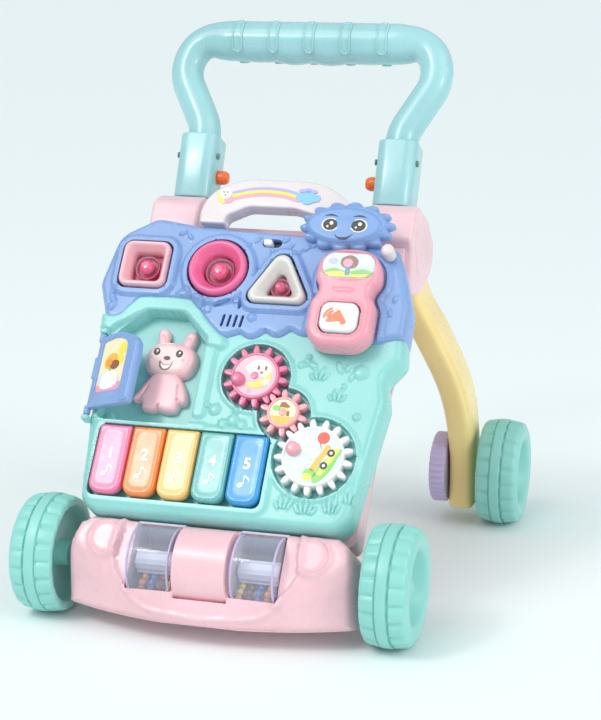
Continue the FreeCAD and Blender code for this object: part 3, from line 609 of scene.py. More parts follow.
LOWER_FACE = [(-128, -8, 22), (122, -8, 22), (139, 118, 14), (134, 141, 8), (148, 160, 12),
              (145.5, 188, 2), (60, 187, 10), (-23, 178, 16), (-36, 190, 10), (-56, 211, 14),
              (-112, 211, 14), (-130, 187, 8), (-147, 187, 2)]
NICHE = [(-128, 80, 6), (-38, 80, 6), (-38, 160, 12), (-64, 190, 14), (-100, 190, 16),
         (-128, 166, 18)]
# Centre, teeth, tip radius, and the direction from the middle gear in degrees.
GEARS = {"gear_white": ((82.6, 58.4), 17, 36.1, -48.8), "gear_middle": ((48.3, 97.6), 10, 22.6, 0),
         "gear_pink": ((16.1, 130.9), 14, 30.3, 134.1)}
ARCH = [(-152, 166, 3), (-140, 170, 6), (-133, 166, 4), (-128, 172, 6), (-101, 190, 12),
        (-63, 190, 12), (-38, 166, 8), (-36, 158, 3), (-20, 156, 4), (-19, 165, 4),
        (-40, 184, 8), (-57, 205, 14), (-110, 205, 14), (-124, 190, 10), (-152, 182, 3)]


def blade(x, y, length, lean, width=4.0):
    """Slim leaf outline standing on (x, y)."""
    return spin(circle(0, length / 2, width / 2, 14, length / 2), lean, x, y)


def tuft(x, y, lengths, spread, width=3.6):
    """Fan of leaves from one foot."""
    middle = (len(lengths) - 1) / 2
    return [(blade(x + 2.6 * (index - middle), y, length, -spread * (index - middle), width),
             2.0, 1.2, "dome") for index, length in enumerate(lengths)]


lower_features = [(rounded(ARCH), 5.0, 5.0, "add"),
                  (box_outline(-38, -26, 88, 162, 5), 2.4, 4.0, "lift"),
                  (box_outline(-136, -22, 76.5, 83, 3), 1.8, 3.0, "lift"),
                  (box_outline(-128, 47, 0.5, 81, 10), 1.4, 4.0, "lift")]
for (x, y), _, tip, _ in GEARS.values():
    lower_features.append((circle(x, y, tip + 5.5), 1.6, 3.0, "lift"))
for (x, y), _, tip, _ in GEARS.values():
    lower_features.append((circle(x, y, tip + 2), -8, 1.0, "set"))
lower_features += [(rounded(NICHE), -14, 1.4, "set"),
                   (box_outline(-122.3, 40.7, 6.5, 75.5, 7), -10.5, 1.0, "set")]
for x, y, radius in ((-122, 86, 5.5), (-129, 82.5, 3.3), (2, 88, 6), (11, 84, 5), (-7, 84, 5),
                     (-17, 97, 6), (-25, 101, 3), (3, 97, 3.5), (115, 100, 4), (112, 143, 7),
                     (99, 128, 2.6), (62, 149, 4.5), (56, 146, 3.4), (68, 146, 3.4), (62, 154, 3.4),
                     (62, 149, 2)):
    lower_features.append((circle(x, y, radius, 18), 2.4, 1.0, "dome"))
lower_features += [(blade(103, 133, 10, -20, 4.5), 2.2, 1.0, "dome"),
                   (blade(95, 140, 13, 25, 6), 1.8, 1.0, "dome"),
                   (blade(98, 142, 10, -25, 5), 1.8, 1.0, "dome")]
lower_features += tuft(74, 132, (8, 13, 15, 10), 22) + tuft(94, 113, (8, 12, 13, 9), 22)
lower_features += tuft(62, 8, (10, 15, 18, 13), 16) + tuft(83, 5, (12, 16, 19, 15, 10), 15)
lower_features += tuft(106, 8, (12, 17, 19, 14), 14) + tuft(121, 18, (11, 15, 12), 12)
moulded("panel_lower_shell", rounded(LOWER_FACE), lower_features, 0, -31.5, teal_plastic, "panel",
        ["panel_lower"], rim=8)

# ---- upper panel -----------------------------------------------------------------------------


def scallops(first, last, count, sag):
    """Hanging arcs from one point to another."""
    points = []
    for index in range(count):
        for step in range(8):
            t = (index + step / 8) / count
            drop = sag * math.sin(math.pi * step / 8)
            points.append((first[0] + (last[0] - first[0]) * t,
                           first[1] + (last[1] - first[1]) * t - drop))
    return points


CLOUD_EDGE = (rounded([(-151, 175.5, 1), (-124, 178.8, 10), (-108, 200.8, 16), (-60, 201.8, 16),
                       (-42, 180.8, 10), (-24, 165, 14), (-12, 170, 0)])[1:-1])
UPPER_FACE = (CLOUD_EDGE + scallops((-7, 172), (65, 181.5), 3, 6)
              + rounded([(65, 181, 0), (118, 170, 6), (146.5, 178, 2), (147, 212, 40),
                         (129, 268, 18), (80, 275, 15), (-62, 280, 40), (-110, 287, 20),
                         (-144, 266, 25),
                         (-153, 218, 40), (-151, 175.5, 0)])[1:-1])
SQUARE = rounded([(-133, 211, 8), (-87, 211, 8), (-87, 257, 8), (-133, 257, 8)])
ROUND = circle(-38, 234, 28)
TRIANGLE = rounded([(-9, 202, 7), (56, 202, 7), (23.5, 260, 9)])
PHONE = rounded([(60, 157, 20), (120.5, 157, 20), (120.5, 200, 16), (113, 212, 12),
                 (121, 224, 14), (121, 254, 22), (61, 254, 22), (61, 224, 14), (68, 212, 12),
                 (60, 200, 16)])
upper_features = [(offset(PHONE, -6.5), 8.4, 3.5, "lift"), (offset(PHONE, -2.2), 5, 1.6, "set")]
for shape in (SQUARE, ROUND, TRIANGLE):
    upper_features.append((offset(shape, -8), 9.5, 3.5, "lift"))
for shape in (SQUARE, ROUND, TRIANGLE):
    upper_features.append((offset(shape, -1.7), -8.8, 1.0, "set"))
upper_features += [(circle(-67, 206, 8, 26), 4.5, 1.0, "dome"),
                   (circle(-53, 199.5, 7.5, 26), 4.5, 1.0, "dome"),
                   (circle(2.5, 188, 4.5, 20), 2.5, 1.0, "dome"),
                   (rounded([(-19, 201, 1), (-7, 201, 1), (-13, 209, 1)]), 2.4, 1.4, "add"),
                   (box_outline(-44, -38, 190, 202, 2.5), 2.0, 1.6, "add"),
                   (blade(-36, 197, 17, -66, 2.6), -4.0, 1.0, "add"),
                   (blade(-12, 196, 9, -10, 2.4), -4.0, 1.0, "add"),
                   (blade(-137, 186, 14, -18, 6), 2.4, 1.2, "dome"),
                   (blade(-134, 194, 12, 24, 6), 2.4, 1.2, "dome"),
                   (blade(-139, 203, 9, -30, 5), 2.4, 1.2, "dome")]
for x, y, length, lean in ((-9, 264, 10, -45), (-14, 258, 6, -20), (18, 265, 9, -50),
                           (24, 258, 9, -40), (31, 252, 10, -52), (12, 254, 7, 30),
                           (40, 258, 8, -45), (46, 262, 8, -60), (-84, 268, 9, -60),
                           (-70, 264, 8, 40), (132, 196, 9, 10), (133, 210, 10, -10)):
    upper_features.append((blade(x, y, length, lean, 3.6), 2.0, 1.0, "dome"))
slots = [rounded([(-25.6 + 6 * index - 1.4, 177, 1.2), (-25.6 + 6 * index + 1.4, 177, 1.2),
                  (-24.0 + 6 * index + 1.4, 190, 1.2), (-24.0 + 6 * index - 1.4, 190, 1.2)], 4)
         for index in range(4)]
switch_slot = box_outline(-1, 18, 260, 269, 4.4)
moulded("panel_upper_shell", UPPER_FACE, upper_features, 5, -31.5, blue_plastic, "panel",
        ["panel_upper"], rim=5.5, holes=slots + [switch_slot])

# ---- shape buttons ---------------------------------------------------------------------------

RING_PROFILE = [(0, -4.6), (0, 9.5), (0.05, 12.2), (0.16, 13.8), (0.3, 14), (0.42, 13.6),
                (0.56, 11.5), (0.85, 6.2), (1, 4.2), (1, -4.6)]


cup_pink = plastic("cup_pink", (0.50, 0.03, 0.14), roughness=0.3)
jewel_pink = plastic("jewel_pink", (0.86, 0.015, 0.20), roughness=0.12, coat=0.8)


def shape_button(name, outline, opening, centre, eye, material):
    """Raised ring around a well that holds a faceted ball in a cup under a clear dome."""
    outer = spokes(outline, centre)
    inner = spokes(opening, centre)
    loops = [spoke_loop([a + (b - a) * t for a, b in zip(outer, inner)], centre, height)
             for t, height in RING_PROFILE]
    lofted(name + "_ring", loops, material, name + "_button", PANEL, [name + "_button"],
           closed=True, crease=50)
    place = PANEL @ Matrix.Translation((*centre, 0))
    slab(name + "_well", offset(opening, -0.8), -5.2, -3.6, cup_pink, name + "_button", bevel=0,
         slot="hot_pink")
    turned(name + "_lens", [(eye * math.sin(angle), 1.5 + (eye - 3.5) * math.cos(angle))
                            for angle in np.linspace(math.pi / 2, 0, 14)],
           clear_plastic, name + "_button", place, [name + "_dome"], steps=40)
    cup = [(0, -4, 0), (eye, -4, 1), (eye, 1, 0.5), (eye - 1.5, 1, 0.5), (eye - 2.5, -2.6, 1),
           (0, -2.6, 0)]
    turned(name + "_cup", fillet_profile(cup), cup_pink, name + "_button", place,
           steps=40)
    jewel = [(radius * (eye - 3) / 9, height) for radius, height in
             ((0, 8.0), (3.2, 7.6), (6.0, 5.6), (7.2, 2.6), (6.2, -0.2), (3.6, -2.2), (0, -2.6))]
    ball = turned(name + "_jewel", jewel, jewel_pink, name + "_button", place,
                  steps=9, crease=5)
    for face in ball.data.polygons:
        face.use_smooth = False


shape_button("square", SQUARE, box_outline(-124.5, -95.5, 219.5, 248.5, 4), (-110, 234), 12.2,
             pale_pink_plastic)
shape_button("round", ROUND, circle(-38, 234, 15.8), (-38, 234), 14, hot_pink_plastic)
shape_button("triangle", TRIANGLE, rounded([(9, 211.5, 3), (38, 211.5, 3), (23.5, 238, 4)]),
             (23.5, 221), 9.6, cream_plastic)

# ---- keys ------------------------------------------------------------------------------------

KEY_COLOURS = [("key_pink", (0.84, 0.21, 0.39)), ("key_orange", (0.95, 0.25, 0.045)),
               ("key_yellow", (0.95, 0.57, 0.18)), ("key_teal", (0.15, 0.50, 0.48)),
               ("key_blue", (0.02, 0.32, 0.72))]


def digit(name, text, x, y, size, height, material, body):
    """A raised printed digit."""
    curve = bpy.data.curves.new(name + "_curve", "FONT")
    curve.body = text
    curve.size = size
    curve.align_x = "CENTER"
    curve.align_y = "CENTER"
    curve.extrude = 0.15
    curve.offset = 0.35
    curve.bevel_depth = 0.05
    shaper = bpy.data.objects.new(name + "_shaper", curve)
    bpy.context.scene.collection.objects.link(shaper)
    graph = bpy.context.evaluated_depsgraph_get()
    mesh = bpy.data.meshes.new_from_object(shaper.evaluated_get(graph))
    bpy.data.objects.remove(shaper)
    mesh.transform(Matrix.Translation((x, y, height)))
    mesh.materials.clear()
    finish_piece(name, mesh, material, body, (), PANEL, 40)


def note(name, x, y, height, body):
    """A printed quaver."""
    head = [(x - 3 + a * 0.94 - b * 0.3, y - 4 + a * 0.3 + b * 0.94)
            for a, b in circle(0, 0, 3.1, 20, 2.3)]
    decal(name + "_head", head, height, ink_white, body, slot="white")
    stem = [(x - 0.9, y - 4), (x + 0.1, y - 4), (x + 0.1, y + 5.5), (x - 0.9, y + 5.5)]
    decal(name + "_stem", stem, height, ink_white, body, slot="white")
    decal(name + "_flag", smooth([(x - 0.6, y + 5.6), (x + 0.4, y + 3.6), (x + 3.8, y + 1.2),
                                  (x + 3.9, y - 1.6), (x + 4.9, y + 1.5), (x + 2.0, y + 4.4)], 5),
          height, ink_white, body, slot="white")


KEYS_LEFT = -121.3
KEY_PITCH = 32.4
KEY_WIDTH = 31
for number, (slot_name, colour) in enumerate(KEY_COLOURS, start=1):
    left = KEYS_LEFT + KEY_PITCH * (number - 1)
    right = left + KEY_WIDTH
    key = f"key_{number}"
    outline = rounded([(left, 8, 11), (right, 8, 11), (right, 74, 2), (left, 74, 2)])
    moulded(key + "_cap", outline, [(box_outline(left + 4, left + 27, 14, 70, 8), -0.5, 6, "add")],
            5, -3.8, plastic(slot_name, colour, roughness=0.24, coat=0.4), key, [key],
            spacing=2.4, rim=3.2)
    middle = left + 16
    digit(key + "_digit", str(number), middle, 46, 15, 4.75, ink_white, key)
    note(key + "_note", middle, 30, 4.6, key)

# ---- gears -----------------------------------------------------------------------------------

GEAR_MODULE = 3.86
PRESSURE_ANGLE = math.radians(20)


def gear_outline(teeth, phase):
    """Involute teeth about the origin; phase is the angle of one tooth's middle."""
    pitch = GEAR_MODULE * teeth / 2
    flank_base = pitch * math.cos(PRESSURE_ANGLE)
    root = pitch - 1.15 * GEAR_MODULE
    thickness = math.pi / 2 / teeth - 0.45 / pitch
    profile = []
    for radius in (max(root + 0.6, flank_base), pitch, pitch + 0.5 * GEAR_MODULE,
                   pitch + 0.8 * GEAR_MODULE):
        pressure = math.acos(min(1, flank_base / radius))
        half = (thickness + math.tan(PRESSURE_ANGLE) - PRESSURE_ANGLE
                - math.tan(pressure) + pressure)
        profile.append((radius, half))
    profile.insert(0, (root, profile[0][1] * 1.05))
    outline = []
    for tooth in range(teeth):
        middle = phase + TAU * tooth / teeth
        outline += [(radius, middle - half) for radius, half in profile]
        outline += [(radius, middle + half) for radius, half in reversed(profile)]
    return [(radius * math.cos(angle), radius * math.sin(angle)) for radius, angle in outline]


def gear_phase(name):
    """Angle of a tooth's middle, so that the three gears mesh at rest."""
    first = math.radians(GEARS["gear_white"][3])
    if name == "gear_middle":
        return first
    toward = math.radians(GEARS[name][3])
    turned_steps = (toward - first) / (TAU / GEARS["gear_middle"][1])
    mate = TAU / GEARS[name][1]
    return toward + math.pi + mate / 2 + (turned_steps - math.floor(turned_steps)) * mate


def gear(name, material, slot, plate):
    """Toothed wheel with a dished plate, a printed film and a boss."""
    (x, y), teeth, tip, _ = GEARS[name]
    place = PANEL @ Matrix.Translation((x, y, 0))
    slab(name + "_teeth", gear_outline(teeth, gear_phase(name)), -7.4, 4, material, name,
         holes=[circle(0, 0, 3.2, 24)], bevel=0.9, matrix=place, replaces=[name], slot=slot,
         segments=2)
    rim = tip - 8
    dish = [(3.2, 3.2, 0), (3.2, 5.4, 0), (rim - 2.4, 5.4, 0), (rim - 2, 6.2, 0.3),
            (rim, 6.2, 0.8), (rim + 0.6, 3.6, 0)]
    turned(name + "_plate", fillet_profile(dish), material, name, place, steps=80)
    turned(name + "_film", [(3.2, 5.4), (3.2, 5.6), (rim - 2.5, 5.6), (rim - 2.5, 5.4)], plate,
           name, place, steps=64)
    turned(name + "_boss", fillet_profile([(0, 6.6, 0), (3.6, 6.6, 0.7), (3.6, 4, 0), (0, 4, 0)]),
           material, name, place, steps=28)
    return place


sky_film = paint("sky_film", (0.74, 0.84, 0.90))
sun_yellow = paint("sun_yellow", (0.98, 0.80, 0.10))
leaf_green = paint("leaf_green", (0.25, 0.66, 0.10))
warm_orange = paint("warm_orange", (0.96, 0.50, 0.06))
balloon_red = paint("balloon_red", (0.90, 0.08, 0.03))
brown_ink = paint("brown_ink", (0.30, 0.10, 0.03))
cream_film = paint("cream_film", (0.93, 0.84, 0.56))
pink_ink = paint("pink_ink", (0.92, 0.38, 0.48))
cloud_blue = paint("cloud_blue", (0.22, 0.56, 0.92))
violet_ink = paint("violet_ink", (0.42, 0.42, 0.80))
pale_film = paint("pale_film", (0.92, 0.90, 0.88))


def knob(name, place, tip, angle, material):
    """Finger peg near a gear's rim."""
    lean = math.radians(angle)
    spot = place @ Matrix.Translation((tip * 0.52 * math.cos(lean), tip * 0.52 * math.sin(lean), 0))
    peg = [(0, 13.2, 0), (5.9, 12.6, 2.6), (5.9, 8, 0.5), (7.4, 5.2, 1), (0, 5.2, 0)]
    turned(name + "_peg", fillet_profile(peg), material, name, spot, steps=40)


pink_film = paint("pink_film", (0.88, 0.52, 0.60))
blue_film = paint("blue_film", (0.66, 0.78, 0.84))
white_place = gear("gear_white", white_plastic, "white", blue_film)
middle_place = gear("gear_middle", gear_pale_plastic, "pale_pink", cream_film)
pink_place = gear("gear_pink", gear_pink_plastic, "gear_pink_mat", pink_film)
knob("gear_white", white_place, GEARS["gear_white"][2], 165, gear_pale_plastic)
knob("gear_pink", pink_place, GEARS["gear_pink"][2], 200, gear_pink_plastic)
FILM = 5.6
picture("gear_white_", FILM, "gear_white", white_place, (
        ("sky", spin(circle(0, 0, 12, 40, 7.5), -30, -9, 13), pale_film, 0.0),
        ("meadow", spin(circle(0, 0, 16, 40, 5.5), 58, 12.5, -11), leaf_green, 0.0),
        ("balloon", circle(7.5, 17.5, 5.6, 32), balloon_red, 0.0),
        ("string", spin(box_outline(-0.3, 0.3, -6, 0, 0.2), 20, 5, 13), brown_ink, 0.0),
        ("bus_roof", spin(box_outline(-14, 14, -0.2, 5, 2), 62, 9.5, -2.5), warm_orange, 0.0),
        ("bus_side", spin(box_outline(-14, 15, -5.4, 0.6, 2), 62, 13, -4), sun_yellow, 0.15),
        ("bus_trim", spin(box_outline(-14, 16, -2.6, 0, 0.8), 62, 16.8, -5.6), leaf_green, 0.3),
        ("bush", circle(-0.5, -16.5, 5.6, 24, 4.6), leaf_green, 0.0),
        ("bush_low", circle(-2, -20, 4.4, 24, 3.4), sun_yellow, 0.15)))
for index, (x, y) in enumerate(((16.6, 3.8), (11.6, -8.4))):
    decal(f"gear_white_tyre_{index}", circle(x, y, 3.5, 28), FILM + 0.4, ink_black, "gear_white",
          white_place)
    decal(f"gear_white_hub_{index}", circle(x, y, 1.4, 20), FILM + 0.6, ink_white, "gear_white",
          white_place)
picture("gear_middle_", FILM, "gear_middle", middle_place, (
        ("field", [(11.6 * math.cos(a), 11.6 * math.sin(a)) for a in np.linspace(3.5, 5.9, 24)],
         warm_orange, 0.0),
        ("tree", circle(-6.5, 3.5, 3.6, 24, 2.6), leaf_green, 0.1),
        ("roof", [(-3.5, 4.6), (3.8, 4.0), (6.4, 5.4), (1.2, 9.6), (-2.4, 9.2)], brown_ink, 0.2),
        ("wall", box_outline(-2.6, 4.4, -3.4, 4.6, 0.8), sun_yellow, 0.1),
        ("door", box_outline(3.9, 6.2, -3.6, 1.2, 0.6), brown_ink, 0.3)))
picture("gear_pink_", FILM, "gear_pink", pink_place, (
        ("cloud", smooth([(-2, 14), (8, 15), (15, 8), (14, 0), (4, -1), (-6, 2), (-9, 9)], 6),
         pale_film, 0.0),
        ("moon", spin(smooth([(-11, 0), (-4, -7), (6, -8), (13, -3), (15, 3), (7, -1),
                              (-3, -2)], 6), 22, 2, -4), sun_yellow, 0.15),
        ("blush", circle(-3.0, -15.0, 2.2, 20), pink_ink, 0.0),
        ("eye_0", circle(2.5, 7.5, 1.2, 16, 2.4), brown_ink, 0.2),
        ("eye_1", circle(9.5, 7.5, 1.2, 16, 2.4), brown_ink, 0.2),
        ("mouth", circle(6, 3.0, 1.8, 16, 1.2), balloon_red, 0.25),
        ("star", [((5 if k % 2 else 2.2) * math.cos(TAU * k / 10) + 12,
                   (5 if k % 2 else 2.2) * math.sin(TAU * k / 10) - 6) for k in range(10)],
         sky_film, 0.3)))

# ---- door ------------------------------------------------------------------------------------

DOOR_HINGE = (-137, 0, 4.5)
DOOR_OPEN = 28
DOOR = (PANEL @ Matrix.Translation(DOOR_HINGE)
        @ Matrix.Rotation(math.radians(-DOOR_OPEN), 4, "Y"))
DOOR_AXIS = DOOR @ Matrix.Rotation(math.radians(-90), 4, "X")
DOOR_FILM = 1.6
DOOR_OUTLINE = [(2, 86, 1), (56, 86, 3), (56, 150, 18), (26, 160, 30), (2, 156, 2)]
door_window = rounded([(7, 100, 5), (41, 100, 6), (41, 149, 12), (24, 154.5, 20), (7, 151, 3)])
slab("door_frame", rounded(DOOR_OUTLINE), -3.5, 3.5, blue_plastic, "door", holes=[door_window],
     bevel=1.4, matrix=DOOR, replaces=["door"], slot="blue")
slab("door_back", offset(door_window, -1), -2.6, DOOR_FILM, blue_plastic, "door", bevel=0,
     matrix=DOOR, slot="blue")
slab("door_edge", rounded([(43.5, 87.5, 4), (55.8, 87.5, 3.5), (55.8, 147, 4), (43.5, 148, 4)]),
     -3.5, 5.6, blue_plastic, "door", bevel=2.0, matrix=DOOR, slot="blue")
decal("door_film", offset(door_window, -0.4), DOOR_FILM, cream_film, "door", DOOR)
picture("door_", DOOR_FILM, "door", DOOR, (
        ("floor", [(7.5, 100.5), (40.5, 100.5), (40.5, 108), (26, 111), (7.5, 107)], pink_ink, 0.3),
        ("sun", circle(34, 142, 5.6, 24), sun_yellow, 0.3),
        ("bush", circle(30, 131, 8, 24, 6), sun_yellow, 0.2),
        ("bloom", smooth([(13, 131), (19, 138), (27, 137), (30, 130), (26, 124), (16, 124)], 6),
         warm_orange, 0.4),
        ("heart", circle(27, 126.5, 6, 24, 4.6), brown_ink, 0.5),
        ("face", circle(19.5, 129, 4, 20), paint("amber_ink", (0.90, 0.34, 0.03)), 0.6),
        ("stalk", [(20, 124), (22.5, 124), (25, 111), (22, 111)], leaf_green, 0.2),
        ("cloth", smooth([(14, 118), (28, 120), (35, 112), (31, 104), (14, 104)], 6),
         ink_white, 0.5),
        ("petal", circle(13, 113, 4, 20, 6), paint("sky_ink", (0.65, 0.78, 0.92)), 0.4)))
for index, (low, high) in enumerate(((81, 89), (116, 137), (153, 161))):
    turned(f"door_knuckle_{index}",
           fillet_profile([(0, low, 0), (3.2, low, 0.8), (3.2, high, 0.8), (0, high, 0)]),
           blue_plastic, "door", DOOR_AXIS, steps=28)
for index, (low, high) in enumerate(((75.2, 80.2), (161.6, 167))):
    moulded(f"door_lug_{index}", box_outline(-141, -133, low, high, 2), [], 9, -3, teal_plastic,
            "panel", rim=2, spacing=1.2)
turned("door_pin", fillet_profile([(0, 77, 0), (1.5, 77, 0.3), (1.5, 165, 0.3), (0, 165, 0)]),
       steel_pin, "door", DOOR_AXIS, steps=20)

# ---- bunny -----------------------------------------------------------------------------------

BUNNY = PANEL @ Matrix.Translation((-4, 3, 0))
bunny_pink = plastic("bunny_pink", (0.94, 0.56, 0.60), roughness=0.3, coat=0.2)
bunny_cream = plastic("bunny_cream", (0.96, 0.72, 0.69), roughness=0.32)
NICHE_FLOOR = -13.9
head = smooth([(-92, 138), (-87, 128), (-76, 124), (-60, 124), (-48, 127), (-42, 138), (-43, 149),
               (-52, 158), (-66, 160), (-82, 158), (-91, 150)], 8)
belly = smooth([(-94, 108), (-97, 104), (-95, 99), (-88, 99), (-86, 92), (-78, 89.5), (-70, 91),
                (-62, 89.5), (-53, 91), (-50, 98), (-45, 99), (-43.5, 104), (-46, 112), (-52, 122),
                (-60, 130), (-78, 130), (-86, 121)], 6)
pillow("bunny_belly", belly, NICHE_FLOOR, -3, 6, bunny_pink, "panel", BUNNY,
       replaces=["bunny"],
       features=[(box_outline(-70.8, -69.2, 88, 97, 0.6), -3.0, 1.4, "add"),
                 (blade(-52, 98, 20, 8, 2.0), -1.6, 1.0, "add"),
                 (blade(-89, 100, 17, -24, 2.0), -1.2, 1.0, "add")])
pillow("bunny_head", head, NICHE_FLOOR, -1.6, 8, bunny_pink, "panel", BUNNY)
for index, (x, top, lean) in enumerate(((-78, 173.5, 7), (-53, 172, -16))):
    ear = spin(rounded([(-5.4, -18, 3), (5.4, -18, 3), (5.9, 12, 5.6), (-5.9, 12, 5.6)]), lean, x,
               top - 12)
    pillow(f"bunny_ear_{index}", ear, NICHE_FLOOR, -4.2, 4, bunny_pink, "panel", BUNNY,
           features=[(spin(circle(0, -2, 2.4, 20, 7), lean, x, top - 12), -0.9, 1.2, "add")])
face = smooth([(-90, 139), (-86, 130), (-76, 126), (-64, 125.6), (-54, 128), (-48, 136), (-49, 146),
               (-56, 154), (-68, 158), (-81, 156), (-88, 149)], 8)
pillow("bunny_face", face, -4, -1.0, 6, bunny_cream, "panel", BUNNY, spacing=2.0)
for index, (x, y) in enumerate(((-80, 147.5), (-58, 146.5))):
    eye_place = BUNNY @ Matrix.Translation((x, y, 0)) @ Matrix.Diagonal((0.92, 1.08, 1, 1))
    turned(f"bunny_eye_{index}", [(3.6, -1.4), (3.3, -0.6), (1.6, -0.3), (0, -0.25)],
           ink_black, "panel", eye_place, steps=28)
    decal(f"bunny_glint_{index}", circle(x + 0.7, y + 0.6, 1.1, 16), -0.3, ink_white, "panel",
          BUNNY)
    decal(f"bunny_cheek_{index}", circle(x + (-4.5 if index == 0 else 4.5), y - 6, 1.5, 16), -1.25,
          pink_ink, "panel", BUNNY)
decal("bunny_nose", circle(-69, 141.5, 3.2, 24, 2.0), -1.0, ink_black, "panel", BUNNY, thick=0.5)
decal("bunny_mouth", smooth([(-75.5, 138.6), (-71, 135.2), (-65, 135.4), (-62.6, 139), (-65, 131),
                             (-70.5, 129.4), (-74.8, 132.6)], 6), -0.98, brown_ink, "panel", BUNNY)
decal("bunny_teeth", smooth([(-73.6, 136.2), (-71, 134.2), (-65.6, 134.4), (-63.8, 136.4),
                             (-66, 132), (-70.4, 130.6), (-73.4, 133.4)], 6), -0.7, ink_white,
      "panel", BUNNY)

# ---- phone -----------------------------------------------------------------------------------

phone_window = rounded([(66, 223, 12.5), (116, 223, 12.5), (116, 249, 12.5), (66, 249, 12.5)])
phone_key = rounded([(73.5, 168.5, 8.5), (108.5, 168.5, 8.5), (108.5, 197.5, 8.5),
                     (73.5, 197.5, 8.5)])
PHONE_FILM = 25.2
phone_pink = plastic("phone_pink", (0.88, 0.36, 0.44), roughness=0.26, coat=0.3)
moulded("phone_shell", PHONE,
        [(circle(91, 236, 27, 60, 15.5), 1.0, 2.5, "add"), (phone_window, PHONE_FILM, 1.2, "set"),
         (offset(phone_key, -3.2), 1.0, 2.4, "add"), (offset(phone_key, -1.0), 14, 1.0, "set"),
         (box_outline(80.5, 99, 209.5, 213, 1.6), 0.9, 1.0, "add")],
        27, 5.5, phone_pink, "phone", ["phone_body"], rim=6)
moulded("phone_button_cap", phone_key, [(circle(91, 183, 13, 40, 10), -0.6, 4, "add")], 31, 17.6,
        white_plastic, "phone_button", ["phone_button"], rim=2.2, spacing=1.8)
for label, outline in (
        ("bell", smooth([(80, 178), (90, 189), (93.5, 186), (98.5, 178), (94.5, 175.5),
                         (92, 178.4)], 5)),
        ("wave_0", smooth([(76.5, 181), (79, 188), (84.6, 191.5), (84.4, 190), (80.4, 187),
                           (78.2, 181)], 5)),
        ("wave_1", smooth([(80, 182.5), (81.5, 186.6), (86, 188.8), (84.6, 186.4),
                           (82.6, 182.4)], 5))):
    decal("phone_" + label, outline, 30.45, orange_plastic, "phone_button", thick=0.5)
decal("phone_picture", offset(phone_window, 0.5), PHONE_FILM, sky_film, "phone")
picture("phone_", PHONE_FILM, "phone", PANEL, (
        ("meadow", smooth([(68, 229), (78, 233), (91, 230), (104, 233), (114, 230), (111, 225.6),
                           (91, 223.8), (71, 225.6)], 6), leaf_green, 0.25),
        ("path", smooth([(70, 227.5), (82, 230), (96, 227.4), (110, 228), (104, 224.8),
                         (80, 224.6)], 6),
         sun_yellow, 0.4),
        ("tree", smooth([(84, 236), (84, 243), (92, 246.4), (99, 242), (98, 235), (91, 233)], 6),
         brown_ink, 0.3),
        ("blossom", circle(90, 238.6, 4.6, 24, 4.2), pink_ink, 0.45),
        ("trunk", box_outline(88.6, 92.6, 226, 234, 0.8),
         paint("teal_ink", (0.05, 0.35, 0.50)), 0.5),
        ("cloud", circle(106, 241, 5, 24, 3), ink_white, 0.25),
        ("cloud_2", circle(76, 240, 4.6, 24, 3), paint("lilac_ink", (0.6, 0.6, 0.85)), 0.25)))
moulded("phone_lens", offset(phone_window, 0.25), [], 26.9, 26.2, clear_plastic, "phone",
        ["phone_window"], rim=0.6, spacing=4)
turned("phone_aerial", fillet_profile([(0, 22, 0), (6, 22, 3.4), (6, 6, 0.4), (0, 6, 0)]),
       shell_white, "panel", PANEL @ Matrix.Translation((122.5, 257, 0)), steps=32)

# ---- sun and carry handle --------------------------------------------------------------------

SUN = (79, 283)
SUN_REACH = (46, 26)
RAYS = 14
rays = []
for index in range(RAYS):
    middle = TAU * index / RAYS + 0.12
    for shift, reach in ((-0.21, 0.84), (-0.13, 0.93), (-0.05, 0.99), (0.05, 0.99), (0.13, 0.93),
                         (0.21, 0.84)):
        rays.append((SUN[0] + SUN_REACH[0] * reach * math.cos(middle + shift),
                     SUN[1] + SUN_REACH[1] * reach * math.sin(middle + shift)))
pillow("sun_rays", rays, 5.6, 13, 3.0, blue_plastic, "panel", replaces=["sun_face"],
       features=[(circle(*SUN, 38, 60, 20), 3.0, 3.0, "add")], spacing=1.8)
pillow("sun_disc", circle(SUN[0] - 1, SUN[1] - 1, 37, 72, 19.5), 8, 18, 5,
       plastic("sun_blue", (0.20, 0.36, 0.70)), "panel",
       features=[(circle(SUN[0] - 1, SUN[1] - 1, 14, 40, 6), 0.4, 8, "dome")])
for index, (x, y) in enumerate(((64.5, 280.5), (91.5, 280.5))):
    decal(f"sun_eye_rim_{index}", circle(x, y, 8.2, 36, 6.8), 17.7, ink_white, "panel", thick=0.5)
    decal(f"sun_eye_{index}", circle(x, y, 6.8, 32, 5.9), 18.0, ink_black, "panel", thick=0.4)
    decal(f"sun_glint_{index}", circle(x + 1.2, y + 1.4, 1.8, 20), 18.4, ink_white, "panel")
    decal(f"sun_glint_low_{index}", circle(x - 2.2, y - 2.2, 1.0, 16), 18.4, ink_white, "panel")
    brow = [(x - 6.5, y + 9.0), (x, y + 10.8), (x + 6.5, y + 8.6), (x, y + 9.2)]
    decal(f"sun_brow_{index}", smooth(brow, 8), 18.0, ink_black, "panel")
decal("sun_mouth", smooth([(70, 270.6), (74, 268.4), (81, 268.4), (87.5, 271.6), (82, 266.2),
                           (76, 265.8), (72, 267.8)], 6), 17.5, ink_black, "panel", thick=0.6)

carry_arch = rounded([(-71, 287.6, 3), (-46, 287.6, 2), (-46, 296, 8), (-25, 307, 20),
                      (20, 307, 25), (48, 299, 9), (52, 287.6, 2), (80, 287.6, 3),
                      (78, 312, 26), (46, 336, 62),
                      (-36, 337, 70), (-74, 316, 34)])
CARRY_FRONT = -4
slab("carry_handle_arch", carry_arch, -22, CARRY_FRONT, shell_white, "panel", bevel=3.2,
     replaces=["carry_handle"], slot="white", segments=4)


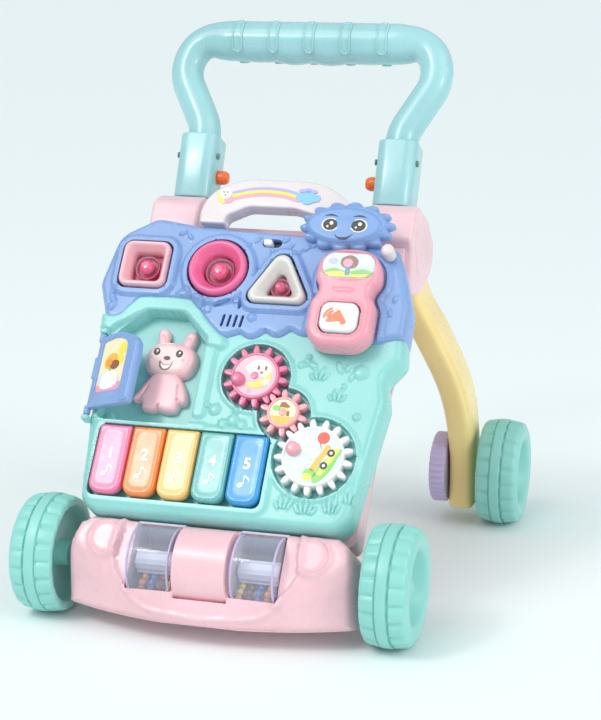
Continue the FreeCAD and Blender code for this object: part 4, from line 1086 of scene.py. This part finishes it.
def arc_band(centre, radius, width, start, end):
    """Band between two arcs about the centre, from start to end in degrees."""
    angles = np.radians(np.linspace(start, end, 26))
    return [(centre[0] + reach * math.cos(angle), centre[1] + reach * math.sin(angle))
            for reach, sweep in ((radius, angles), (radius - width, angles[::-1]))
            for angle in sweep]


for label, radius, colour in (("violet", 100, violet_ink), ("yellow", 97, sun_yellow),
                              ("pink", 93.5, pink_ink)):
    decal("rainbow_" + label, arc_band((-8, 228), radius, 3.2, 70, 118), CARRY_FRONT,
          colour, "panel")
for index, (x, y, radius) in enumerate(((25, 318.5, 5.5), (32, 320, 6.5), (39, 318, 5.2),
                                        (32, 316, 6.0))):
    decal(f"rainbow_cloud_{index}", circle(x, y, radius, 26, radius * 0.8), -3.7 + 0.1 * index,
          cloud_blue, "panel")
for index, (x, y, radius) in enumerate(((25, 325.5, 3.2), (31, 326, 4), (37, 325, 3.2))):
    decal(f"rainbow_puff_{index}", circle(x, y, radius, 22, radius * 0.6), -3.7 + 0.1 * index,
          violet_ink, "panel")
for label, x, y, radius, colour, layer in (("glow", -50, 316.5, 7.5, sun_yellow, 0.1),
                                           ("cheek", -46, 313.5, 4.5, pink_ink, 0.3),
                                           ("face", -50, 319, 5.6, ink_white, 0.4)):
    decal("rainbow_" + label, circle(x, y, radius, 28), CARRY_FRONT + layer, colour, "panel")
for index, (x, y) in enumerate(((-52, 320.6), (-48, 320.6), (-50, 317.4))):
    decal(f"rainbow_dot_{index}", circle(x, y, 0.8, 14), -3.2, brown_ink, "panel")

# ---- switch ----------------------------------------------------------------------------------

moulded("switch_tray", offset(switch_slot, -0.4), [], -1.9, -3.5, ink_black, "panel",
        rim=0.3, spacing=3)
moulded("switch_cap", box_outline(0.8, 8.8, 261.5, 267.5, 1.2),
        [(box_outline(2.6 + 2 * index, 3.4 + 2 * index, 262, 267, 0.3), -0.5, 0.5, "add")
         for index in range(3)], 8.4, -1.9, white_plastic, "power_switch", ["power_switch"],
        rim=1, spacing=0.9)

# ---- base ------------------------------------------------------------------------------------

BASE_HALF = 134
LIP_REACH = 12
LIP_ARC = 24
FACE = -6
BASE_BOTTOM = 20
BASE_BACK = -125
UP_Z, OUT_Z = 0.8014, 0.5982
SADDLE_RADIUS, SADDLE_MIDDLE, SADDLE_DEPTH = 34.4, -44.2, 19.3


def lip_place(u):
    """Where the base's face meets its upright front, up the panel, at this distance across."""
    return -85 + 48.6 * (u / BASE_HALF) ** 2


def base_foot(u):
    """Where the upright front ends at the base's bottom, measured down the unrolled face."""
    corner = lip_place(u)
    return corner - (PANEL_FOOT.z + UP_Z * corner + OUT_Z * FACE - BASE_BOTTOM)


def base_bend(u, v, rise):
    """Face of the base: the panel's plane, bent over the lip to an upright front."""
    lean = PANEL_LEAN
    start = lip_place(u) + LIP_REACH
    drop = start - v
    foot = min(drop, 0.0)
    y = PANEL_FOOT.y + (start - foot) * math.sin(lean) - FACE * math.cos(lean)
    z = PANEL_FOOT.z + (start - foot) * math.cos(lean) + FACE * math.sin(lean)
    turn = lean * min(max(drop / LIP_ARC, 0), 1)
    radius = LIP_ARC / lean
    out_y, out_z = -math.cos(lean - turn), math.sin(lean - turn)
    y += radius * (out_y + math.cos(lean))
    z += radius * (out_z - math.sin(lean)) - max(drop - LIP_ARC, 0)
    return (u, y + rise * out_y, z + rise * out_z)


def base_skirt(point, outer):
    """The base's outer rim runs to its rear wall; the windows' rims turn inwards."""
    x, y, z = point
    if outer:
        return (x, BASE_BACK, BASE_BOTTOM + (z - BASE_BOTTOM) * 0.35)
    return (x, y + 11, z - 8)


def saddle_height(points):
    """Barrel between the drums, level across, round about the drums' axle."""
    across = points[:, 1] - SADDLE_MIDDLE
    return np.sqrt(np.maximum(SADDLE_RADIUS ** 2 - across ** 2, 0)) - SADDLE_DEPTH - FACE


stations = np.linspace(-BASE_HALF, BASE_HALF, 60)
shoulder = [(BASE_HALF, -58), (133, -42), (130, -28), (124.5, -17), (115, -10.2)]
base_outline = ([(float(u), base_foot(u)) for u in stations] + shoulder
                + [(-u, v) for u, v in shoulder[::-1]])
basin = rounded([(-80, -4, 2), (-84, -52, 26), (-56, -87, 36), (0, -92, 60), (56, -87, 36),
                 (84, -52, 26), (80, -4, 2)])
base_features = [(offset(basin, -6), 2.4, 5, "add"), (basin, -9, 5.5, "add")]
base_windows = []
for side in SIDES:
    low, high = sorted((side * 26.2, side * 70))
    base_windows.append(box_outline(low, high, -74, -14, 1.5))
    base_features += [(box_outline(low - 3.5, high + 3.5, -78, -5, 4), 2.2, 2.4, "add"),
                      (circle(side * 101, -24, 27, 48), 2.6, 9, "add"),
                      (circle(side * 95, -31, 18, 48), 2.6, 3.4, "add"),
                      (circle(side * 95, -31, 15.6, 44), -1.3, 1.2, "add"),
                      (circle(side * 95, -31, 13.4, 40), 1.6, 3.5, "add")]
base_features.append((box_outline(-24.6, 24.6, -79, -10.4, 0.5), saddle_height, 0.8, "lift"))
moulded("base_shell", base_outline, base_features, 0, base_skirt, pink_plastic, "chassis",
        ["base_housing"], ROW, spacing=2.6, rim=9, holes=base_windows, cap=False,
        bend=base_bend)

REAR = ROW @ Matrix(((1, 0, 0), (0, 0, -1), (0, 1, 0))).to_4x4()
slab("base_rear_wall", box_outline(-133.6, 133.6, 20.2, 47.8, 3), 124, 126, pink_plastic, "chassis",
     bevel=0.5, matrix=REAR, slot="pink")

# ---- drums and beads -------------------------------------------------------------------------

bead_paints = [plastic(name, colour, roughness=0.2, coat=0.5) for name, colour in
               (("bead_yellow", (0.96, 0.62, 0.04)), ("bead_orange", (0.86, 0.26, 0.04)),
                ("bead_blue", (0.04, 0.16, 0.62)), ("bead_brown", (0.22, 0.06, 0.03)))]


def on_axle(side, x, y, z):
    """Frame whose Z points outwards along an axle on the given side."""
    place = facing_x(side * x, y, z)
    return place if side > 0 else place @ Matrix.Rotation(math.pi, 4, "X")


def side_name(side):
    """Side 1 is right, towards +X, and side -1 is left."""
    return "right" if side > 0 else "left"


DRUM_WALL = (fillet_profile([(2.8, 27, 0), (29, 27, 0.5), (32, 28.2, 1), (32, 67.8, 1),
                             (29, 69, 0.5), (2.8, 69, 0)])
             + fillet_profile([(2.8, 67.4, 0), (30.4, 67.4, 0.6), (30.4, 28.6, 0.6),
                               (2.8, 28.6, 0)]) + [(2.8, 27)])
DRUM_CORE = fillet_profile([(2.8, 28.8, 0), (9.5, 28.8, 1), (9.5, 67.2, 1),
                            (2.8, 67.2, 0)]) + [(2.8, 28.8)]
BEAD = [(0.8, -2.9), (1.6, -3.05), (2.7, -2.2), (3.2, 0), (2.7, 2.2), (1.6, 3.05), (0.8, 2.9),
        (0.8, -2.9)]
HEAP_LOW = -98
BEAD_PITCH = 8.6
for side in SIDES:
    drum = "drum_" + side_name(side)
    beads = "beads_" + side_name(side)
    axle = on_axle(side, 0, DRUM_Y, DRUM_Z)
    turned(drum + "_shell", DRUM_WALL, drum_plastic, drum, axle, [drum, drum + "_lid"],
           steps=88)
    for index, at in enumerate((28.4, 66.2)):
        turned(f"{drum}_band_{index}", fillet_profile([(30.2, at, 0), (32.15, at, 0.5),
                                                       (32.15, at + 1.6, 0.5), (30.2, at + 1.6, 0)])
               + [(30.2, at)], lavender_plastic, drum, axle, steps=72)
    turned(drum + "_core", DRUM_CORE, core_plastic, drum, axle, steps=12, crease=20)
    for index in range(5):
        angle = TAU * index / 5 + 0.5
        vane = ROW @ Matrix.Translation((0, DRUM_Y, DRUM_Z)) @ Matrix.Rotation(angle, 4, "X")
        slab(f"{drum}_vane_{index}", box_outline(*sorted((side * 29, side * 67)), 9, 10.9, 0.5),
             -0.7, 0.7, core_plastic, drum, bevel=0.3, matrix=vane, slot="clear")
    ring = [(33.3, 26.4), (33.3, 70), (34.4, 70), (34.4, 26.4)][::-side]
    cradle = []
    for angle in np.radians(np.linspace(-142, 67, 54)):
        cradle.append([(side * across, DRUM_Y + reach * math.cos(angle),
                        DRUM_Z + reach * math.sin(angle)) for reach, across in ring])
    # The cradle's pale core colour is painted light: it brightens what shows through the clear
    # drum, where the base's inside would be in shade.
    lofted(drum + "_cradle", cradle, core_plastic, "chassis", ROW, crease=30)
    bead = 0
    for reach, count, span, columns in ((26.8, 4, 66, 4), (20.4, 4, 66, 4), (14.4, 2, 30, 4)):
        for row in range(count):
            lean = math.radians(HEAP_LOW - span / 2 + span * row / (count - 1))
            for column in range(columns):
                shift = 4.2 * ((row + int(reach)) % 2)
                spot = (side * (32.5 + BEAD_PITCH * column + shift),
                        DRUM_Y + reach * math.cos(lean), DRUM_Z + reach * math.sin(lean))
                turned(f"bead_{side_name(side)}_{bead}", BEAD, bead_paints[(bead * 3 + row) % 4],
                       beads, ROW @ Matrix.Translation(spot) @ Matrix.Rotation(0.9 * bead, 4, "Y")
                       @ Matrix.Rotation(0.7 * bead, 4, "X"),
                       [beads] if bead == 0 else (), steps=14)
                bead += 1

# ---- wheels and knobs ------------------------------------------------------------------------

WHEEL = fillet_profile([(3.1, -19.5, 0), (11, -19.5, 1), (12, -7, 1), (40, -7, 3), (45, -22.6, 5),
                        (52.2, -19, 5), (54.4, -6.6, 0.6), (52.8, -6.0, 0.4), (52.8, -5.2, 0.4),
                        (54.8, -4.6, 0.6), (54.9, 4.2, 0.8), (51.6, 5.0, 0.4), (51.6, 6.2, 0.4),
                        (54.2, 6.8, 0.8), (52.2, 19, 6), (45, 22.8, 6), (34, 21.6, 8),
                        (27.5, 9.2, 2), (3.1, 9.2, 0)], 4)


def tread(radius, height, angle):
    """Twenty cross grooves on the two shoulders of the tyre."""
    if radius > 45 and 6.5 < abs(height) < 22:
        groove = (0.5 + 0.5 * math.cos(20 * angle + (math.pi if height < 0 else 0))) ** 5
        fade = min(1, (22 - abs(height)) / 4)
        radius -= 2.1 * groove * fade
    return radius, height


HUB_CAP = fillet_profile([(3.0, 9.6, 0), (9, 9.6, 0.4), (9, 14.5, 2.5), (3, 16.8, 2),
                          (0, 16.8, 0)])
for place, track, axle_y in (("front", FRONT_TRACK, FRONT_AXLE_Y),
                             ("rear", REAR_TRACK, REAR_AXLE_Y)):
    for side in SIDES:
        wheel = f"{place}_wheel_{side_name(side)}"
        axle = on_axle(side, track, axle_y, WHEEL_HEIGHT)
        turned(wheel + "_tyre", WHEEL + [WHEEL[0]], tread_plastic, wheel, axle, [wheel],
               steps=240, shape=tread, crease=35)
        turned(f"hub_cap_{place}_{side_name(side)}", HUB_CAP, tread_plastic, "chassis", axle,
               ["hub_caps"] if (place, side) == ("front", -1) else (), steps=36)


def knurl(radius, height, angle):
    """Thirty-six finger grooves round a knob's rim."""
    if radius > 34:
        radius -= 1.5 * (0.5 - 0.5 * math.cos(36 * angle)) ** 0.7
    return radius, height


KNOB = fillet_profile([(3.1, 119.7, 0), (8, 119.7, 0.8), (10, 121.4, 1), (29, 121.4, 1),
                       (31, 119.7, 0.8), (35, 119.7, 1.4), (36.9, 121.6, 0.8), (36.9, 134.4, 0.8),
                       (35, 136.2, 1.4), (3.1, 136.2, 0)]) + [(3.1, 119.7)]
for side in SIDES:
    knob_body = "speed_knob_" + side_name(side)
    turned(knob_body + "_disc", KNOB, lavender_plastic, knob_body,
           on_axle(side, 0, REAR_AXLE_Y, WHEEL_HEIGHT), [knob_body], steps=360,
           shape=knurl)

# ---- back frame, posts and handle ------------------------------------------------------------

FACE_SIDE = Matrix(((0, 0, 1), (1, 0, 0), (0, 1, 0))).to_4x4()
ladder = rounded([(-124, -9.4, 8), (124, -9.4, 8), (124, 300, 8), (-124, 300, 8)])
slab("back_frame_ladder", ladder, -66, -37, frame_plastic, "chassis",
     holes=[rounded([(-84, 22, 12), (84, 22, 12), (84, 150, 12), (-84, 150, 12)]),
            rounded([(-84, 172, 12), (84, 172, 12), (84, 272, 12), (-84, 272, 12)])],
     bevel=4, replaces=["back_frame"], slot="pink_frame", segments=4)
for index, v in enumerate((277.5, 284, 290.5)):
    tube(f"back_frame_rib_{index}", [(-80, v, -37.5), (80, v, -37.5)], 1.8, frame_plastic,
         "chassis", PANEL)
EAR = [(286, -40, 4), (291, -28, 6), (320, -26, 10), (334.1, -40.5, 14), (342.4, -83.6, 26),
       (336, -121, 14), (318, -131.6, 12), (293, -120, 20), (267, -97, 24), (248, -60, 10)]
EAR_COVER = [(298, -44, 10), (318, -44, 12), (328, -84, 18), (318, -114, 12), (292, -98, 16),
             (276, -72, 14)]
for side in SIDES:
    name = side_name(side)
    low, high = sorted((side * 82, side * 131.4))
    slab("frame_ear_" + name, rounded(EAR)[::-1], low, high, frame_plastic, "chassis", bevel=6,
         matrix=PANEL @ FACE_SIDE, slot="pink_frame", segments=5)
    slab("frame_ear_cover_" + name, rounded(EAR_COVER), *sorted((side * 130.5, side * 131.9)),
         frame_plastic, "chassis", bevel=0.6,
         matrix=PANEL @ FACE_SIDE, slot="pink_frame")
    post = (HANDLE @ Matrix.Translation((side * 101, 0, 0))
            @ Matrix.Rotation(math.radians(-90), 4, "X"))
    slab("post_sleeve_" + name, box_outline(-19.5, 19.5, -22, 22, 12, 8), -45, 21, handle_plastic,
         "chassis", holes=[circle(0, 0, 16.9, 48)], bevel=2.2, matrix=post,
         replaces=["post_" + name], slot="teal_handle", segments=4)
    lock = "lock_button_" + name
    turned(lock + "_dome", fillet_profile([(0, 0, 0), (5.4, 0.4, 3), (7, 5, 2), (7, 12.8, 0.4),
                                           (3.5, 12.8, 0.3), (3.5, 16.8, 0.6), (0, 16.8, 0)]),
           orange_plastic, lock, HANDLE @ Matrix.Translation((side * 70, -19, 0))
           @ Matrix.Rotation(side * math.pi / 2, 4, "Y"), [lock], steps=40)

GRIP_HEIGHT = 125
GRIP_PITCH = 37
HANDLE_PATH = fillet_profile([(101, -35, 0), (101, 33, 45), (132, 90, 38),
                              (119, GRIP_HEIGHT, 26), (-119, GRIP_HEIGHT, 26),
                              (-132, 90, 38), (-101, 33, 45), (-101, -35, 0)], 14)


def handle_loops():
    """Rings along the tube, thicker at the grip, with finger waves on its lower side."""
    path = np.array(resample(HANDLE_PATH, 3.0, closed=False))
    along = np.gradient(path, axis=0)
    along /= np.linalg.norm(along, axis=1)[:, None]
    loops = []
    for (x, y), (dx, dy) in zip(path, along):
        level = float(ease((118 - abs(x)) / 34) * ease((y - 80) / 30))
        radius = 16.2 + 3.9 * level
        bulge = level * (3.0 if abs(x) < GRIP_PITCH else 1.0)
        bulge *= abs(math.sin(math.pi * x / GRIP_PITCH)) * (abs(x) < 2 * GRIP_PITCH)
        loop = []
        for step in range(40):
            angle = TAU * step / 40
            reach = radius + (bulge * -math.cos(angle) if math.cos(angle) < 0 else 0)
            loop.append((x + dy * reach * math.cos(angle), y - dx * reach * math.cos(angle),
                         radius * math.sin(angle)))
        loops.append(loop)
    return loops


lofted("handle_tube", handle_loops(), handle_plastic, "handle", HANDLE, ["handle"],
       crease=60)


def grip_pad(name, x, side):
    """Pill-shaped raised rim wrapped on the front or back of the grip."""
    outline = resample(box_outline(-5.4, 5.4, -19, 19, 5.2), 1.2)
    inside = offset(outline, 2.0)
    rings = [(outline, 19.0), (outline, 21.2), (offset(outline, 0.5), 21.9),
             (offset(outline, 1.3), 21.9), (inside, 20.5)]
    rings += [([(u * scale, v * scale) for u, v in inside], 20.5) for scale in (0.7, 0.4, 0.1)]
    loops = []
    for ring, reach in rings:
        turns = [v / 20.5 - (0.24 if side < 0 else 0) for _, v in ring]
        loops.append([(x + u, GRIP_HEIGHT + reach * math.sin(turn), side * reach * math.cos(turn))
                      for (u, _), turn in zip(ring, turns)])
    lofted(name, loops if side < 0 else [loop[::-1] for loop in loops], handle_plastic, "handle",
           HANDLE, crease=60)


for index in range(5):
    for name, side in (("front", -1), ("back", 1)):
        grip_pad(f"handle_rib_{index}_{name}", GRIP_PITCH * (index - 2), side)

# ---- rear legs -------------------------------------------------------------------------------

# Height, place across, place along, half width, half depth.
LEG_SECTIONS = ((16, 151, 185, 13.5, 23), (80, 151, 183.5, 14, 25), (145, 146.5, 160, 15, 31),
                (220, 127, 113, 16, 33), (265, 112, 87, 15.5, 30), (298, 110, 71, 15.5, 27))
FOOT_ROUND = 3.5
CREASE_DEPTH = 2.4
CREASE_ANGLE = 318


def leg_loops(side):
    """Rounded-box rings up a rear leg, with a crease near its outer front corner."""
    table = np.array(LEG_SECTIONS, float)
    loops = []
    slopes = np.gradient(table[:, 1:], table[:, 0], axis=0)
    for z in np.concatenate([[16, 17, 19.5], np.linspace(23, 298, 70)]):
        index = min(int(np.searchsorted(table[:, 0], z, side="right")) - 1, len(table) - 2)
        span = table[index + 1, 0] - table[index, 0]
        t = (z - table[index, 0]) / span
        blend = (2 * t ** 3 - 3 * t ** 2 + 1, (t ** 3 - 2 * t ** 2 + t) * span,
                 3 * t ** 2 - 2 * t ** 3, (t ** 3 - t ** 2) * span)
        x, y, half_x, half_y = (blend[0] * table[index, 1:] + blend[1] * slopes[index]
                                + blend[2] * table[index + 1, 1:] + blend[3] * slopes[index + 1])
        shrink = FOOT_ROUND - math.sqrt(max(0, FOOT_ROUND ** 2 - max(0, 19.5 - z) ** 2))
        fade = float(ease((z - 105) / 30) * ease((262 - z) / 30))
        loop = []
        for step in range(56):
            angle = TAU * step / 56
            c, s = math.cos(angle), math.sin(angle)
            groove = CREASE_DEPTH * fade
            groove *= math.exp(-((math.degrees(angle) - CREASE_ANGLE) / 7) ** 2)
            a = (half_x - shrink) * math.copysign(abs(c) ** 0.55, c) - groove * c
            b = (half_y - shrink) * math.copysign(abs(s) ** 0.55, s) - groove * s
            loop.append((side * (x + a), y + b, float(z)))
        loops.append(loop)
    return loops


for side in SIDES:
    leg = "rear_leg_" + side_name(side)
    lofted(leg + "_shell", leg_loops(side), yellow_plastic, "chassis", ROW, [leg],
           crease=55)

# ---- CAD pieces that stay --------------------------------------------------------------------

for names, material in ((("base_bottom_cover", "panel_back_cover", "battery_cover"), pink_plastic),
                        (("front_axles", "rear_axles", "drum_axle", "gear_shafts", "key_rod",
                          "base_screws", "panel_screws"), steel_pin),
                        (("post_pins",), green_pin_plastic), (("batteries",), cell_wrap),
                        (("circuit_board",), board_green), (("speaker",), black_plastic)):
    for name in names:
        for slot_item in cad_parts[name].material_slots:
            slot_item.material = material

# ---- stage, light and camera -----------------------------------------------------------------

scene = bpy.context.scene
scene.view_settings.view_transform = "Standard"


def studio_floor():
    """Plain pale sheet, wide enough to reach the horizon."""
    mesh = bpy.data.meshes.new("floor")
    mesh.from_pydata([(-30, -30, 0), (30, -30, 0), (30, 30, 0), (-30, 30, 0)], [], [(0, 1, 2, 3)])
    floor = bpy.data.objects.new("floor", mesh)
    scene.collection.objects.link(floor)
    material = bpy.data.materials.new("floor_paper")
    material.use_nodes = True
    tree = material.node_tree
    sheet = inputs_of(tree)
    sheet["Base Color"].default_value = (0.90, 0.955, 0.955, 1)
    sheet["Roughness"].default_value = 0.9
    sheet["Specular IOR Level"].default_value = 0.15
    grain = node(tree, "ShaderNodeTexNoise", Scale=300.0, Detail=3.0).outputs["Fac"]
    bump = node(tree, "ShaderNodeBump", Height=grain, Strength=0.05, Distance=0.0005)
    tree.links.new(bump.outputs["Normal"], sheet["Normal"])
    mesh.materials.append(material)


def lamp(name, kind, place, aim, size, power, colour):
    """A sun (size: its angle in degrees) or a square area light (size: its side in metres)."""
    data = bpy.data.lights.new(name, kind)
    if kind == "SUN":
        data.angle = math.radians(size)
    else:
        data.shape = "RECTANGLE"
        data.size = data.size_y = size
    data.energy = power
    data.color = colour
    thing = bpy.data.objects.new(name, data)
    thing.location = place
    thing.rotation_euler = (Vector(aim) - Vector(place)).to_track_quat("-Z", "Y").to_euler()
    scene.collection.objects.link(thing)


studio_floor()
lamp("key_sun", "SUN", (-0.9, -1.2, 1.9), (0, 0, 0), 40, 0.95, (1.0, 0.985, 0.96))
lamp("soft_box", "AREA", (-0.9, -1.5, 1.9), (0, 0, 0.25), 0.4, 8, (1.0, 1.0, 1.0))
lamp("strip_right", "AREA", (1.6, -0.6, 1.0), (0, 0, 0.25), 0.3, 3, (1.0, 1.0, 1.0))
lamp("fill_sun", "SUN", (1.5, -0.5, 0.8), (0, 0, 0), 60, 0.85, (1.0, 0.99, 0.97))
world = bpy.data.worlds.new("studio")
scene.world = world
world.use_nodes = True
backdrop = inputs_of(world.node_tree, "BACKGROUND")
backdrop["Color"].default_value = (0.88, 0.96, 1.0, 1)
backdrop["Strength"].default_value = 0.61

PICTURE_HEIGHT = 720
TARGET = Vector((0.037, -0.030, 0.204))
azimuth, elevation, distance = math.radians(16.1), math.radians(14.0), 1.762
camera_data = bpy.data.cameras.new("camera")
camera = bpy.data.objects.new("camera", camera_data)
scene.collection.objects.link(camera)
camera.location = TARGET + distance * Vector((math.sin(azimuth) * math.cos(elevation),
                                              -math.cos(azimuth) * math.cos(elevation),
                                              math.sin(elevation)))
camera.rotation_euler = (TARGET - camera.location).to_track_quat("-Z", "Y").to_euler()
camera_data.sensor_width = 36
camera_data.lens = 92.9
camera_data.shift_x = -4.2 / PICTURE_HEIGHT
camera_data.shift_y = 11.1 / PICTURE_HEIGHT
camera_data.clip_start = 0.05
scene.camera = camera
